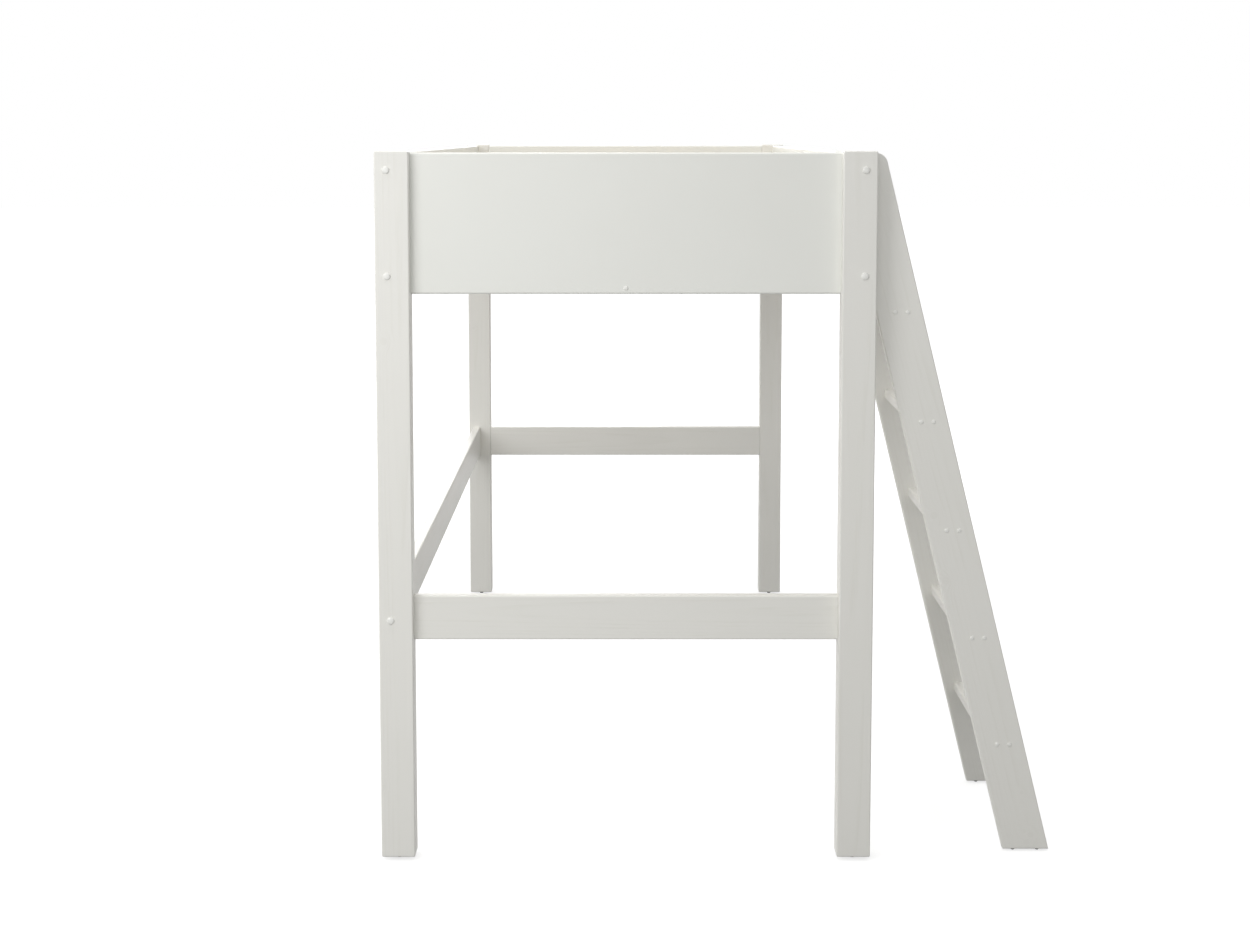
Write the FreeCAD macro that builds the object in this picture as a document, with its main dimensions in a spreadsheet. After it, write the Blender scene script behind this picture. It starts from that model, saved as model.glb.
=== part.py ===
"""High sleeper: a raised single bed on four posts, with panelled sides and a slanted ladder.

Frame: +Z up, +Y along the bed, +X towards the ladder side. The origin is on the floor, in the middle of the
whole footprint with the ladder. Front is +X, back is -X, left is -Y (the ladder's end), right is +Y.
Lengths are in millimetres.
"""

import FreeCAD, Part
import os
import re

import Sketcher

Vector = FreeCAD.Vector

# Driving dimensions
SIZES = {
    # Bed over its posts
    "bed_width": 990,
    "bed_length": 2100,
    "post_height": 1435,
    "post_width": 68,
    "post_depth": 45,
    "post_round": 3,
    # Panels round the mattress
    "panel_thickness": 22,
    "panel_height": 280,
    "panel_drop": 3.5,
    "panel_round": 4,
    "side_inset": 12.5,
    # Low rails
    "rail_thickness": 22,
    "rail_height": 90,
    "rail_underside": 451,
    "rail_round": 3,
    # Entry cut-out in the front side panel
    "entry_depth": 140,
    "entry_round": 40,
    "entry_top_round": 20,
    # Ladder
    "ladder_width": 400,
    "ladder_post_gap": 3,
    "ladder_ledge": 33.5,
    "ladder_lean_share": 0.247,
    "stringer_thickness": 22,
    "stringer_foot": 94,
    "stringer_nose_round": 24,
    "stringer_round": 3,
    "step_count": 5,
    "step_first_height": 224.7,
    "step_top_drop": 38.7,
    "step_depth": 58,
    "step_thickness": 22,
    "step_setback": 22,
    "step_round": 5,
    # Slatted base
    "batten_thickness": 22,
    "batten_height": 23,
    "batten_round": 2,
    "slat_count": 14,
    "slat_width": 70,
    "slat_thickness": 17,
    "slat_side_gap": 3,
    "slat_end_gap": 15,
    "slat_round": 3,
    "ribbon_width": 25,
    "ribbon_thickness": 1.2,
    "ribbon_offset": 250,
    "ribbon_end_gap": 30,
    # Post bolts, their caps and inserts
    "bolt_top_margin": 34,
    "bolt_low_margin": 37,
    "bolt_diameter": 6,
    "bolt_head_diameter": 12,
    "bolt_head_height": 5,
    "bolt_bore_depth": 12,
    "bolt_cap_diameter": 15,
    "bolt_cap_height": 3.5,
    "bolt_cap_round": 2.8,
    "bolt_cap_stem": 5,
    "insert_diameter": 10,
    "insert_length": 18,
    # Ladder bolts
    "ladder_bolt_low": 74,
    "ladder_bolt_drop": 82,
    "ladder_bolt_head_diameter": 12,
    "ladder_bolt_head_height": 3,
    # Dowels
    "dowel_diameter": 8,
    "dowel_length": 40,
    "dowel_chamfer": 1,
    "panel_dowel_spread": 95,
    "rail_dowel_spread": 25,
    # Screws and their caps
    "screw_diameter": 5,
    "screw_head_diameter": 7.6,
    "screw_head_height": 3,
    "screw_bore_depth": 5.5,
    "screw_cap_diameter": 9,
    "screw_cap_height": 2,
    "screw_cap_round": 1.6,
    "screw_cap_stem": 2.5,
    "step_screw_spacing": 25,
    "step_screw_bite": 40,
    "batten_screw_count": 7,
    "batten_screw_bite": 13,
    "batten_screw_margin": 140,
    "end_batten_screw_offset": 300,
    "slat_screw_bite": 12,
    # Glides
    "post_glide_height": 7,
    "post_glide_diameter": 15,
    "post_glide_base_diameter": 11,
    "post_glide_pin_diameter": 4,
    "post_glide_pin_length": 16,
    "ladder_glide_height": 4,
    "ladder_glide_diameter": 10,
    "ladder_glide_base_diameter": 7,
    "ladder_glide_pin_diameter": 2.5,
    "ladder_glide_pin_length": 11,
    "ladder_glide_inset": 22,
    # Room round hardware, and how far cuts run past a face
    "hole_clearance": 0.2,
    "hole_end_gap": 0.6,
    "cut_overrun": 1,
}

# Sizes and places that follow from the driving dimensions; X is counted from the bed's middle
PLACES = {
    "half_width": "bed_width / 2",
    "half_length": "bed_length / 2",
    "post_x": "half_width - post_width / 2",
    "post_y": "half_length - post_depth / 2",
    "post_length": "post_height - post_glide_height",
    "panel_top": "post_height - panel_drop",
    "panel_bottom": "panel_top - panel_height",
    "panel_middle": "panel_top - panel_height / 2",
    "panel_face": "half_width - side_inset",
    "panel_line": "panel_face - panel_thickness / 2",
    "inner_half_width": "panel_face - panel_thickness",
    "inner_half_length": "half_length - post_depth",
    "side_length": "2 * inner_half_length",
    "end_length": "bed_width - 2 * post_width",
    "end_panel_line": "inner_half_length + panel_thickness / 2",
    "end_rail_line": "inner_half_length + rail_thickness / 2",
    "rail_middle": "rail_underside + rail_height / 2",
    "back_rail_line": "panel_face - rail_thickness / 2",
    "bolt_top_z": "panel_top - bolt_top_margin",
    "bolt_low_z": "panel_bottom + bolt_low_margin",
    "bolt_hole": "bolt_diameter + 2 * hole_clearance",
    "bolt_bore": "bolt_head_diameter + 2 * hole_clearance",
    "insert_hole": "insert_diameter + 2 * hole_clearance",
    "insert_depth": "insert_length + hole_end_gap",
    "dowel_hole": "dowel_diameter + 2 * hole_clearance",
    "dowel_depth": "dowel_length / 2 + hole_end_gap",
    "screw_hole": "screw_diameter + 2 * hole_clearance",
    "screw_bore": "screw_head_diameter + 2 * hole_clearance",
    "ladder_run": "(panel_top - ladder_glide_height) * ladder_lean_share",
    "ladder_toe": "ladder_ledge + ladder_run",
    "ladder_heel": "ladder_toe - stringer_foot",
    "ladder_heel_z": "panel_top - (stringer_foot - ladder_ledge) / ladder_lean_share",
    "ladder_y": "ladder_post_gap + ladder_width / 2 - inner_half_length",
    "ladder_inner": "ladder_width - 2 * stringer_thickness",
    "stringer_offset": "(ladder_width - stringer_thickness) / 2",
    "ladder_bolt_low_z": "panel_bottom + ladder_bolt_low",
    "ladder_bolt_top_z": "panel_top - ladder_bolt_drop",
    "ladder_bolt_bore": "ladder_bolt_head_diameter + 2 * hole_clearance",
    "step_pitch": "(panel_bottom - step_top_drop - step_first_height) / (step_count - 1)",
    "step_hole_depth": "step_screw_bite + hole_end_gap",
    "batten_line": "inner_half_width - batten_thickness / 2",
    "batten_middle": "panel_bottom + batten_height / 2",
    "batten_top": "panel_bottom + batten_height",
    "batten_pilot": "batten_screw_bite + hole_end_gap",
    "batten_screw_pitch": "(side_length - 2 * batten_screw_margin) / (batten_screw_count - 1)",
    "end_batten_length": "2 * (inner_half_width - batten_thickness)",
    "end_batten_line": "inner_half_length - batten_thickness / 2",
    "slat_length": "2 * (inner_half_width - slat_side_gap)",
    "slat_middle": "batten_top + slat_thickness / 2",
    "slat_top": "batten_top + slat_thickness",
    "slat_first": "inner_half_length - slat_end_gap - slat_width / 2",
    "slat_pitch": "2 * slat_first / (slat_count - 1)",
    "ribbon_length": "2 * (inner_half_length - ribbon_end_gap)",
    "bed_x": "(side_inset - ladder_toe) / 2",
}

# Sketch planes by drilling axis: the plane's role and which way its normal points
PLANES = {"x": ("YZ_Plane", 1), "y": ("XZ_Plane", -1), "z": ("XY_Plane", 1)}
DIRECTIONS = {
    "+x": Vector(1, 0, 0),
    "-x": Vector(-1, 0, 0),
    "+y": Vector(0, 1, 0),
    "-y": Vector(0, -1, 0),
    "+z": Vector(0, 0, 1),
    "-z": Vector(0, 0, -1),
}
CLOSE = 1e-4

doc = FreeCAD.newDocument("high_sleeper")
nodes = []


def fill_sheet(name, cells, as_text):
    """A sheet with one aliased cell for each entry."""
    sheet = doc.addObject("Spreadsheet::Sheet", name)
    for row, (alias, content) in enumerate(cells.items(), 1):
        sheet.set(f"A{row}", alias.replace("_", " "))
        sheet.set(f"B{row}", as_text(content))
        sheet.setAlias(f"B{row}", alias)
    doc.recompute()
    return sheet


def expression(formula):
    """A formula in the words of the two tables, with each word pointed at its cell."""

    def cell(match):
        word = match.group(0)
        if word in SIZES:
            return f"Sizes.{word}"
        return f"Places.{word}" if word in PLACES else word

    return re.sub(r"[a-z][a-z_]*", cell, formula)


def bind(obj, **formulas):
    for prop, formula in formulas.items():
        obj.setExpression(prop, expression(formula))


def place(obj, x, y, z):
    """Bind the piece's position; X is counted from the bed's middle."""
    obj.setExpression(".Placement.Base.x", expression(f"bed_x + {x}"))
    obj.setExpression(".Placement.Base.y", expression(y))
    obj.setExpression(".Placement.Base.z", expression(z))


def new_body(label):
    body = doc.addObject("PartDesign::Body", label)
    body.Label = label
    return body


def as_node(piece):
    nodes.append(piece)
    return piece


def new_sketch(body, axis, level="0"):
    """A sketch square to an axis of the body, at a level along that axis."""
    role, normal = PLANES[axis]
    plane = next(feature for feature in body.Origin.OriginFeatures if feature.Role == role)
    sketch = body.newObject("Sketcher::SketchObject", "Sketch")
    sketch.AttachmentSupport = [(plane, "")]
    sketch.MapMode = "FlatFace"
    sketch.setExpression(".AttachmentOffset.Base.z", expression(f"{normal} * ({level})"))
    return sketch


def bind_point(sketch, geometry, vertex, point):
    """Tie a sketch point to a pair of formulas counted from the sketch's origin."""
    for kind, formula in zip(("DistanceX", "DistanceY"), point):
        index = sketch.addConstraint(Sketcher.Constraint(kind, -1, 1, geometry, vertex, 1))
        name = f"{kind}_{geometry}"
        sketch.renameConstraint(index, name)
        sketch.setExpression(f"Constraints.{name}", expression(formula))


def draw_outline(sketch, points):
    """A closed outline of straight lines through bound corners."""
    count = len(points)
    turn = FreeCAD.Rotation(Vector(0, 0, 1), 360 / count)
    corner = Vector(1, 0, 0)
    for _ in points:
        following = turn.multVec(corner)
        sketch.addGeometry(Part.LineSegment(corner, following), False)
        corner = following
    for index, point in enumerate(points):
        sketch.addConstraint(Sketcher.Constraint("Coincident", index, 2, (index + 1) % count, 1))
        bind_point(sketch, index, 1, point)


def draw_circles(sketch, diameter, centres):
    for index, centre in enumerate(centres):
        sketch.addGeometry(Part.Circle(Vector(0, 0, 0), Vector(0, 0, 1), 1), False)
        bind_point(sketch, index, 3, centre)
        size = sketch.addConstraint(Sketcher.Constraint("Diameter", index, 2))
        sketch.renameConstraint(size, f"Diameter_{index}")
        sketch.setExpression(f"Constraints.Diameter_{index}", expression(diameter))


def centred_rectangle(across, up):
    low, high = f"-({across}) / 2", f"({across}) / 2"
    bottom, top = f"-({up}) / 2", f"({up}) / 2"
    return [(low, bottom), (high, bottom), (high, top), (low, top)]


def pad(body, axis, points, length, level="0"):
    """A prism along +axis from a level."""
    sketch = new_sketch(body, axis, level)
    draw_outline(sketch, points)
    feature = body.newObject("PartDesign::Pad", "Pad")
    feature.Profile = sketch
    feature.Reversed = PLANES[axis][1] < 0
    bind(feature, Length=length)
    doc.recompute()
    return feature


def pocket(body, sketch, travel, depth):
    """Cut a sketch into the body along a direction such as +x, and make sure that it cuts."""
    before = body.Shape.Volume
    feature = body.newObject("PartDesign::Pocket", "Pocket")
    feature.Profile = sketch
    normal = PLANES[travel[1]][1]
    feature.Reversed = (travel[0] == "+") == (normal > 0)
    bind(feature, Length=depth)
    doc.recompute()
    if body.Shape.Volume >= before - CLOSE:
        raise RuntimeError(f"a pocket of {body.Label} cuts nothing")


def drill(body, travel, level, diameter, depth, centres):
    """Round holes of one diameter, from a level along the travel direction."""
    sketch = new_sketch(body, travel[1], level)
    draw_circles(sketch, diameter, centres)
    pocket(body, sketch, travel, depth)


def round_edges(body, radius, wanted):
    """Round the edges of the body's last feature that a test picks."""
    base = body.Tip
    names = [f"Edge{index}" for index, edge in enumerate(base.Shape.Edges, 1) if wanted(edge)]
    feature = body.newObject("PartDesign::Fillet", "Fillet")
    feature.Base = (base, names)
    bind(feature, Radius=radius)
    doc.recompute()


def runs_along(axis):
    """A test for straight edges along an axis."""
    direction = DIRECTIONS["+" + axis]

    def test(edge):
        if edge.Curve.TypeId != "Part::GeomLine":
            return False
        return abs(edge.Curve.Direction.dot(direction)) > 1 - CLOSE

    return test


def board(label, axis, across, up, length, radius):
    """A straight board along an axis, centred on its own origin, with its long edges rounded."""
    body = new_body(label)
    pad(body, axis, centred_rectangle(across, up), length, f"-({length}) / 2")
    round_edges(body, radius, runs_along(axis))
    return as_node(body)


def both_ends(axis, length):
    """Travel and level of cuts made into a board from each end."""
    return (("+" + axis, f"-({length}) / 2"), ("-" + axis, f"({length}) / 2"))


def sign_of(value):
    return "+" if value > 0 else "-"


# Bed frame
def post(label, front, right):
    """A post; front and right are 1 or -1 for the corner that it stands in."""
    body = new_body(label)
    pad(body, "z", centred_rectangle("post_width", "post_depth"), "post_length")
    round_edges(body, "post_round", lambda edge: True)

    outward, inward = sign_of(right) + "y", sign_of(-right) + "y"
    panel_x = f"{front} * (panel_line - post_x)"
    bolts = [(panel_x, f"{z} - post_glide_height") for z in ("bolt_top_z", "bolt_low_z")]
    if front < 0:
        rail_x = f"{front} * (back_rail_line - post_x)"
        bolts.append((rail_x, "rail_middle - post_glide_height"))
        dowels = [
            (rail_x, f"rail_middle - post_glide_height + {side} * rail_dowel_spread") for side in (1, -1)
        ]
        drill(body, outward, f"{-right} * post_depth / 2", "dowel_hole", "dowel_depth", dowels)
    outer_face = f"{right} * post_depth / 2"
    drill(body, inward, outer_face, "bolt_hole", "post_depth + cut_overrun", bolts)
    drill(body, inward, outer_face, "bolt_bore", "bolt_bore_depth", bolts)

    panel_y, rail_y = f"{right} * (end_panel_line - post_y)", f"{right} * (end_rail_line - post_y)"
    dowels = [
        (panel_y, f"panel_middle - post_glide_height + {step} * panel_dowel_spread") for step in (-1, 0, 1)
    ]
    dowels += [
        (rail_y, f"rail_middle - post_glide_height + {side} * rail_dowel_spread") for side in (1, -1)
    ]
    inner_face = f"{-front} * post_width / 2"
    drill(body, sign_of(front) + "x", inner_face, "dowel_hole", "dowel_depth", dowels)
    pin_hole = "post_glide_pin_diameter + 2 * hole_clearance"
    drill(body, "+z", "0", pin_hole, "post_glide_pin_length + hole_end_gap", [("0", "0")])
    place(body, f"{front} * post_x", f"{right} * post_y", "post_glide_height")
    return as_node(body)


def end_panel(label, right):
    body = board(label, "x", "panel_thickness", "panel_height", "end_length", "panel_round")
    dowels = [("0", f"{step} * panel_dowel_spread") for step in (-1, 0, 1)]
    for travel, level in both_ends("x", "end_length"):
        drill(body, travel, level, "dowel_hole", "dowel_depth", dowels)

    outer_face, inward = f"{right} * panel_thickness / 2", sign_of(-right) + "y"
    screw_z = "batten_middle - panel_middle"
    drill(body, inward, outer_face, "screw_hole", "panel_thickness + cut_overrun", [("0", screw_z)])
    drill(body, inward, outer_face, "screw_bore", "screw_bore_depth", [("0", screw_z)])
    pilots = [(f"{side} * end_batten_screw_offset", screw_z) for side in (1, -1)]
    inner_face, outward = f"{-right} * panel_thickness / 2", sign_of(right) + "y"
    drill(body, outward, inner_face, "screw_hole", "batten_pilot", pilots)
    place(body, "0", f"{right} * end_panel_line", "panel_middle")
    return body


def end_rail(label, right):
    body = board(label, "x", "rail_thickness", "rail_height", "end_length", "rail_round")
    dowels = [("0", f"{side} * rail_dowel_spread") for side in (1, -1)]
    for travel, level in both_ends("x", "end_length"):
        drill(body, travel, level, "dowel_hole", "dowel_depth", dowels)
    place(body, "0", f"{right} * end_rail_line", "rail_middle")
    return body


def batten_screw_places():
    """Places along Y of the screws in a side batten."""
    count = int(SIZES["batten_screw_count"])
    start = "batten_screw_margin - side_length / 2"
    return [f"{index} * batten_screw_pitch + {start}" for index in range(count)]


def drill_side_panel(body, front):
    """Insert holes in both ends, and pilot holes for the batten's screws."""
    inserts = [("0", f"{z} - panel_middle") for z in ("bolt_top_z", "bolt_low_z")]
    for travel, level in both_ends("y", "side_length"):
        drill(body, travel, level, "insert_hole", "insert_depth", inserts)
    pilots = [(y, "batten_middle - panel_middle") for y in batten_screw_places()]
    inner_face = f"{-front} * panel_thickness / 2"
    drill(body, sign_of(front) + "x", inner_face, "screw_hole", "batten_pilot", pilots)


def side_panel_back():
    body = board("side_panel_back", "y", "panel_thickness", "panel_height", "side_length", "panel_round")
    drill_side_panel(body, -1)
    place(body, "-1 * panel_line", "0", "panel_middle")


def side_panel_front():
    """The front panel, with an entry cut out of its upper edge between the ladder's stringers."""
    body = new_body("side_panel_front")
    outline = centred_rectangle("panel_thickness", "panel_height")
    pad(body, "y", outline, "side_length", "-side_length / 2")

    low, high = "ladder_y - ladder_inner / 2", "ladder_y + ladder_inner / 2"
    floor, above = "panel_height / 2 - entry_depth", "panel_height / 2 + cut_overrun"
    entry = new_sketch(body, "x", "-panel_thickness / 2 - cut_overrun")
    draw_outline(entry, [(low, floor), (high, floor), (high, above), (low, above)])
    pocket(body, entry, "+x", "panel_thickness + 2 * cut_overrun")

    half_length, half_height = body.Shape.BoundBox.YMax, body.Shape.BoundBox.ZMax
    across = runs_along("x")

    def inside_corner(edge):
        return across(edge) and abs(edge.BoundBox.YMin) < half_length - CLOSE

    def at_top(edge):
        return edge.BoundBox.ZMin > half_height - CLOSE

    round_edges(body, "entry_round", lambda edge: inside_corner(edge) and not at_top(edge))
    round_edges(body, "entry_top_round", lambda edge: inside_corner(edge) and at_top(edge))

    def along_face(edge):
        box = edge.BoundBox
        on_end = abs(box.YMax - box.YMin) < CLOSE and abs(box.YMin) > half_length - CLOSE
        return box.XLength < CLOSE and not on_end

    round_edges(body, "panel_round", along_face)
    drill_side_panel(body, 1)

    bolts = [
        (f"ladder_y + {side} * stringer_offset", f"{z} - panel_middle")
        for side in (1, -1)
        for z in ("ladder_bolt_low_z", "ladder_bolt_top_z")
    ]
    inner_face = "-panel_thickness / 2"
    drill(body, "+x", inner_face, "bolt_hole", "panel_thickness + cut_overrun", bolts)
    drill(body, "+x", inner_face, "ladder_bolt_bore", "ladder_bolt_head_height", bolts)
    place(as_node(body), "panel_line", "0", "panel_middle")


def back_rail():
    body = board("back_rail", "y", "rail_thickness", "rail_height", "side_length", "rail_round")
    dowels = [("0", f"{side} * rail_dowel_spread") for side in (1, -1)]
    for travel, level in both_ends("y", "side_length"):
        drill(body, travel, level, "insert_hole", "insert_depth", [("0", "0")])
        drill(body, travel, level, "dowel_hole", "dowel_depth", dowels)
    place(body, "-1 * back_rail_line", "0", "rail_middle")


# Slatted base
def side_batten(label, front):
    body = board(label, "y", "batten_thickness", "batten_height", "side_length", "batten_round")
    screws = [(y, "0") for y in batten_screw_places()]
    inner_face, outward = f"{-front} * batten_thickness / 2", sign_of(front) + "x"
    drill(body, outward, inner_face, "screw_hole", "batten_thickness + cut_overrun", screws)
    drill(body, outward, inner_face, "screw_bore", "screw_head_height", screws)
    pilots = [("0", f"{right} * slat_first") for right in (1, -1)]
    drill(body, "-z", "batten_height / 2", "screw_hole", "slat_screw_bite + hole_end_gap", pilots)
    place(body, f"{front} * batten_line", "0", "batten_middle")


def end_batten(label, right):
    body = board(label, "x", "batten_thickness", "batten_height", "end_batten_length", "batten_round")
    screws = [(f"{side} * end_batten_screw_offset", "0") for side in (1, -1)]
    inner_face, outward = f"{-right} * batten_thickness / 2", sign_of(right) + "y"
    drill(body, outward, inner_face, "screw_hole", "batten_thickness + cut_overrun", screws)
    drill(body, outward, inner_face, "screw_bore", "screw_head_height", screws)
    outer_face, inward = f"{right} * batten_thickness / 2", sign_of(-right) + "y"
    drill(body, inward, outer_face, "screw_hole", "batten_pilot", [("0", "0")])
    place(body, "0", f"{right} * end_batten_line", "batten_middle")


def slats():
    count = int(SIZES["slat_count"])
    for index in range(count):
        label = f"slat_{index + 1:02d}"
        body = board(label, "x", "slat_width", "slat_thickness", "slat_length", "slat_round")
        if index in (0, count - 1):
            screws = [(f"{side} * batten_line", "0") for side in (1, -1)]
            drill(body, "-z", "slat_thickness / 2", "screw_hole", "slat_thickness + cut_overrun", screws)
            drill(body, "-z", "slat_thickness / 2", "screw_bore", "screw_head_height", screws)
        place(body, "0", f"{index} * slat_pitch - slat_first", "slat_middle")


def slat_ribbon(label, front):
    """A flat strap under the slats that keeps their spacing."""
    strap = doc.addObject("Part::Box", label)
    strap.Label = label
    bind(strap, Length="ribbon_width", Width="ribbon_length", Height="ribbon_thickness")
    x = f"{front} * ribbon_offset - ribbon_width / 2"
    place(strap, x, "-ribbon_length / 2", "batten_top - ribbon_thickness")
    as_node(strap)


# Ladder
def step_height(index):
    return f"(step_first_height + {index} * step_pitch)"


def step_middle(index):
    """A step's middle in X, counted from the face that the stringers bear on."""
    rear = f"ladder_ledge + (panel_top - {step_height(index)}) * ladder_lean_share - stringer_foot"
    return f"({rear} + step_setback + step_depth / 2)"


def step_range():
    return range(int(SIZES["step_count"]))


def step_screw_places():
    """Places in X and Z of the screws in a stringer, counted from its bearing face and the floor."""
    return [
        (f"{step_middle(index)} + {side} * step_screw_spacing / 2", step_height(index))
        for index in step_range()
        for side in (1, -1)
    ]


def stringer(label, right):
    """A stringer with a plumb cut against the front panel and a level cut at the floor."""
    body = new_body(label)
    outline = [
        ("0", "ladder_heel_z"),
        ("ladder_heel", "ladder_glide_height"),
        ("ladder_toe", "ladder_glide_height"),
        ("ladder_ledge", "panel_top"),
        ("0", "panel_top"),
    ]
    pad(body, "y", outline, "stringer_thickness", "-stringer_thickness / 2")
    top = body.Shape.BoundBox.ZMax
    across = runs_along("y")

    def at_nose(edge):
        return across(edge) and edge.BoundBox.ZMin > top - CLOSE and edge.BoundBox.XMin > CLOSE

    round_edges(body, "stringer_nose_round", at_nose)
    round_edges(body, "stringer_round", lambda edge: edge.BoundBox.YLength < CLOSE)

    outer_face, inward = f"{right} * stringer_thickness / 2", sign_of(-right) + "y"
    drill(body, inward, outer_face, "screw_hole", "stringer_thickness + cut_overrun", step_screw_places())
    drill(body, inward, outer_face, "screw_bore", "screw_bore_depth", step_screw_places())
    bolts = [("0", z) for z in ("ladder_bolt_low_z", "ladder_bolt_top_z")]
    drill(body, "+x", "0", "insert_hole", "insert_depth", bolts)
    pins = [(x, "0") for x in ("ladder_heel + ladder_glide_inset", "ladder_toe - ladder_glide_inset")]
    pin_hole = "ladder_glide_pin_diameter + 2 * hole_clearance"
    drill(body, "+z", "ladder_glide_height", pin_hole, "ladder_glide_pin_length + hole_end_gap", pins)
    place(body, "panel_face", f"ladder_y + {right} * stringer_offset", "0")
    as_node(body)


def steps():
    screws = [(f"{side} * step_screw_spacing / 2", "0") for side in (1, -1)]
    for index in step_range():
        label = f"ladder_step_{index + 1}"
        body = board(label, "y", "step_depth", "step_thickness", "ladder_inner", "step_round")
        for travel, level in both_ends("y", "ladder_inner"):
            drill(body, travel, level, "screw_hole", "step_hole_depth", screws)
        place(body, f"panel_face + {step_middle(index)}", "ladder_y", step_height(index))


# Hardware: each master points along +Z with its seat at zero
def turned(label, profile):
    """A body turned about Z from a closed profile of radius and height formulas."""
    body = new_body(label)
    sketch = new_sketch(body, "y")
    draw_outline(sketch, profile)
    feature = body.newObject("PartDesign::Revolution", "Revolution")
    feature.Profile = sketch
    feature.ReferenceAxis = (sketch, ["V_Axis"])
    doc.recompute()
    return body


def headed(label, diameter, head_diameter, head_top, head_bottom, tip):
    """A bolt or screw; its heights are counted from the surface that it enters."""
    shank, head = f"({diameter}) / 2", f"({head_diameter}) / 2"
    return turned(
        label,
        [
            ("0", tip),
            (shank, tip),
            (shank, head_bottom),
            (head, head_bottom),
            (head, head_top),
            ("0", head_top),
        ],
    )


def domed_cap(label, diameter, height, radius, bore, stem):
    """A cap whose stem plugs the bore over a bolt or screw head."""
    rim, plug = f"({diameter}) / 2", f"({bore}) / 2 - hole_clearance"
    body = turned(
        label,
        [("0", f"-({stem})"), (plug, f"-({stem})"), (plug, "0"), (rim, "0"), (rim, height), ("0", height)],
    )
    top = body.Shape.BoundBox.ZMax

    def on_top_rim(edge):
        return edge.BoundBox.ZMin > top - CLOSE and edge.BoundBox.XLength > CLOSE

    round_edges(body, radius, on_top_rim)
    return body


def glide(label, height, diameter, base_diameter, pin_diameter, pin_length):
    """A glide with a tapered foot below zero and a pin above it."""
    rim, base, pin = f"{diameter} / 2", f"{base_diameter} / 2", f"{pin_diameter} / 2"
    return turned(
        label,
        [
            ("0", f"-{height}"),
            (base, f"-{height}"),
            (rim, f"-{height} / 2"),
            (rim, "0"),
            (pin, "0"),
            (pin, pin_length),
            ("0", pin_length),
        ],
    )


def group(label, master, places):
    """Copies of a master, each with its place in X, Y and Z and the direction that its +Z takes."""
    links = []
    for x, y, z, direction in places:
        link = doc.addObject("App::Link", f"{label}_copy")
        link.LinkedObject = master
        turn = FreeCAD.Rotation(DIRECTIONS["+z"], DIRECTIONS[direction])
        link.Placement = FreeCAD.Placement(Vector(0, 0, 0), turn)
        place(link, x, y, z)
        links.append(link)
    cluster = doc.addObject("Part::Compound", label)
    cluster.Label = label
    cluster.Links = links
    doc.recompute()
    as_node(cluster)


def post_hardware():
    """Bolts through the posts into inserts in the side panels and the back rail, and their caps."""
    seats = [
        (f"{front} * panel_line", right, z)
        for front in (1, -1)
        for right in (1, -1)
        for z in ("bolt_top_z", "bolt_low_z")
    ]
    seats += [("-1 * back_rail_line", right, "rail_middle") for right in (1, -1)]
    outside = [(x, f"{right} * half_length", z, sign_of(right) + "y") for x, right, z in seats]
    inside = [(x, f"{right} * inner_half_length", z, sign_of(right) + "y") for x, right, z in seats]

    bolt = headed(
        "post_bolt",
        "bolt_diameter",
        "bolt_head_diameter",
        "bolt_head_height - bolt_bore_depth",
        "-bolt_bore_depth",
        "-(post_depth + insert_length)",
    )
    cap = domed_cap(
        "bolt_cap", "bolt_cap_diameter", "bolt_cap_height", "bolt_cap_round", "bolt_bore", "bolt_cap_stem"
    )
    group("post_bolts", bolt, outside)
    group("bolt_caps", cap, outside)
    group("bolt_inserts", threaded_insert(), inside)


def threaded_insert():
    bore, rim = "bolt_hole / 2", "insert_diameter / 2"
    return turned("insert", [(bore, "-insert_length"), (rim, "-insert_length"), (rim, "0"), (bore, "0")])


def ladder_hardware():
    """Bolts through the front panel into inserts in the stringers."""
    seats = [
        (f"ladder_y + {side} * stringer_offset", z)
        for side in (1, -1)
        for z in ("ladder_bolt_low_z", "ladder_bolt_top_z")
    ]
    bolt = headed(
        "ladder_bolt",
        "bolt_diameter",
        "ladder_bolt_head_diameter",
        "0",
        "-ladder_bolt_head_height",
        "-(panel_thickness + insert_length)",
    )
    group("ladder_bolts", bolt, [("inner_half_width", y, z, "-x") for y, z in seats])
    group("ladder_inserts", threaded_insert(), [("panel_face", y, z, "-x") for y, z in seats])


def dowels():
    radius, half, chamfer = "dowel_diameter / 2", "dowel_length / 2", "dowel_chamfer"
    master = turned(
        "dowel",
        [
            ("0", f"-{half}"),
            (f"{radius} - {chamfer}", f"-{half}"),
            (radius, f"{chamfer} - {half}"),
            (radius, f"{half} - {chamfer}"),
            (f"{radius} - {chamfer}", half),
            ("0", half),
        ],
    )
    end_frame = []
    for front in (1, -1):
        for right in (1, -1):
            x, direction = f"{front} * end_length / 2", sign_of(front) + "x"
            for step in (-1, 0, 1):
                z = f"panel_middle + {step} * panel_dowel_spread"
                end_frame.append((x, f"{right} * end_panel_line", z, direction))
            for side in (1, -1):
                z = f"rail_middle + {side} * rail_dowel_spread"
                end_frame.append((x, f"{right} * end_rail_line", z, direction))
    group("end_frame_dowels", master, end_frame)

    rail_ends = []
    for right in (1, -1):
        for side in (1, -1):
            z = f"rail_middle + {side} * rail_dowel_spread"
            rail_ends.append(("-1 * back_rail_line", f"{right} * inner_half_length", z, "+y"))
    group("back_rail_dowels", master, rail_ends)


def wood_screw(label, head_top, head_bottom, tip):
    return headed(label, "screw_diameter", "screw_head_diameter", head_top, head_bottom, tip)


def flush_screw(label, through, bite):
    """A screw whose head is flush with the surface that it enters."""
    return wood_screw(label, "0", "-screw_head_height", f"-({through} + {bite})")


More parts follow.
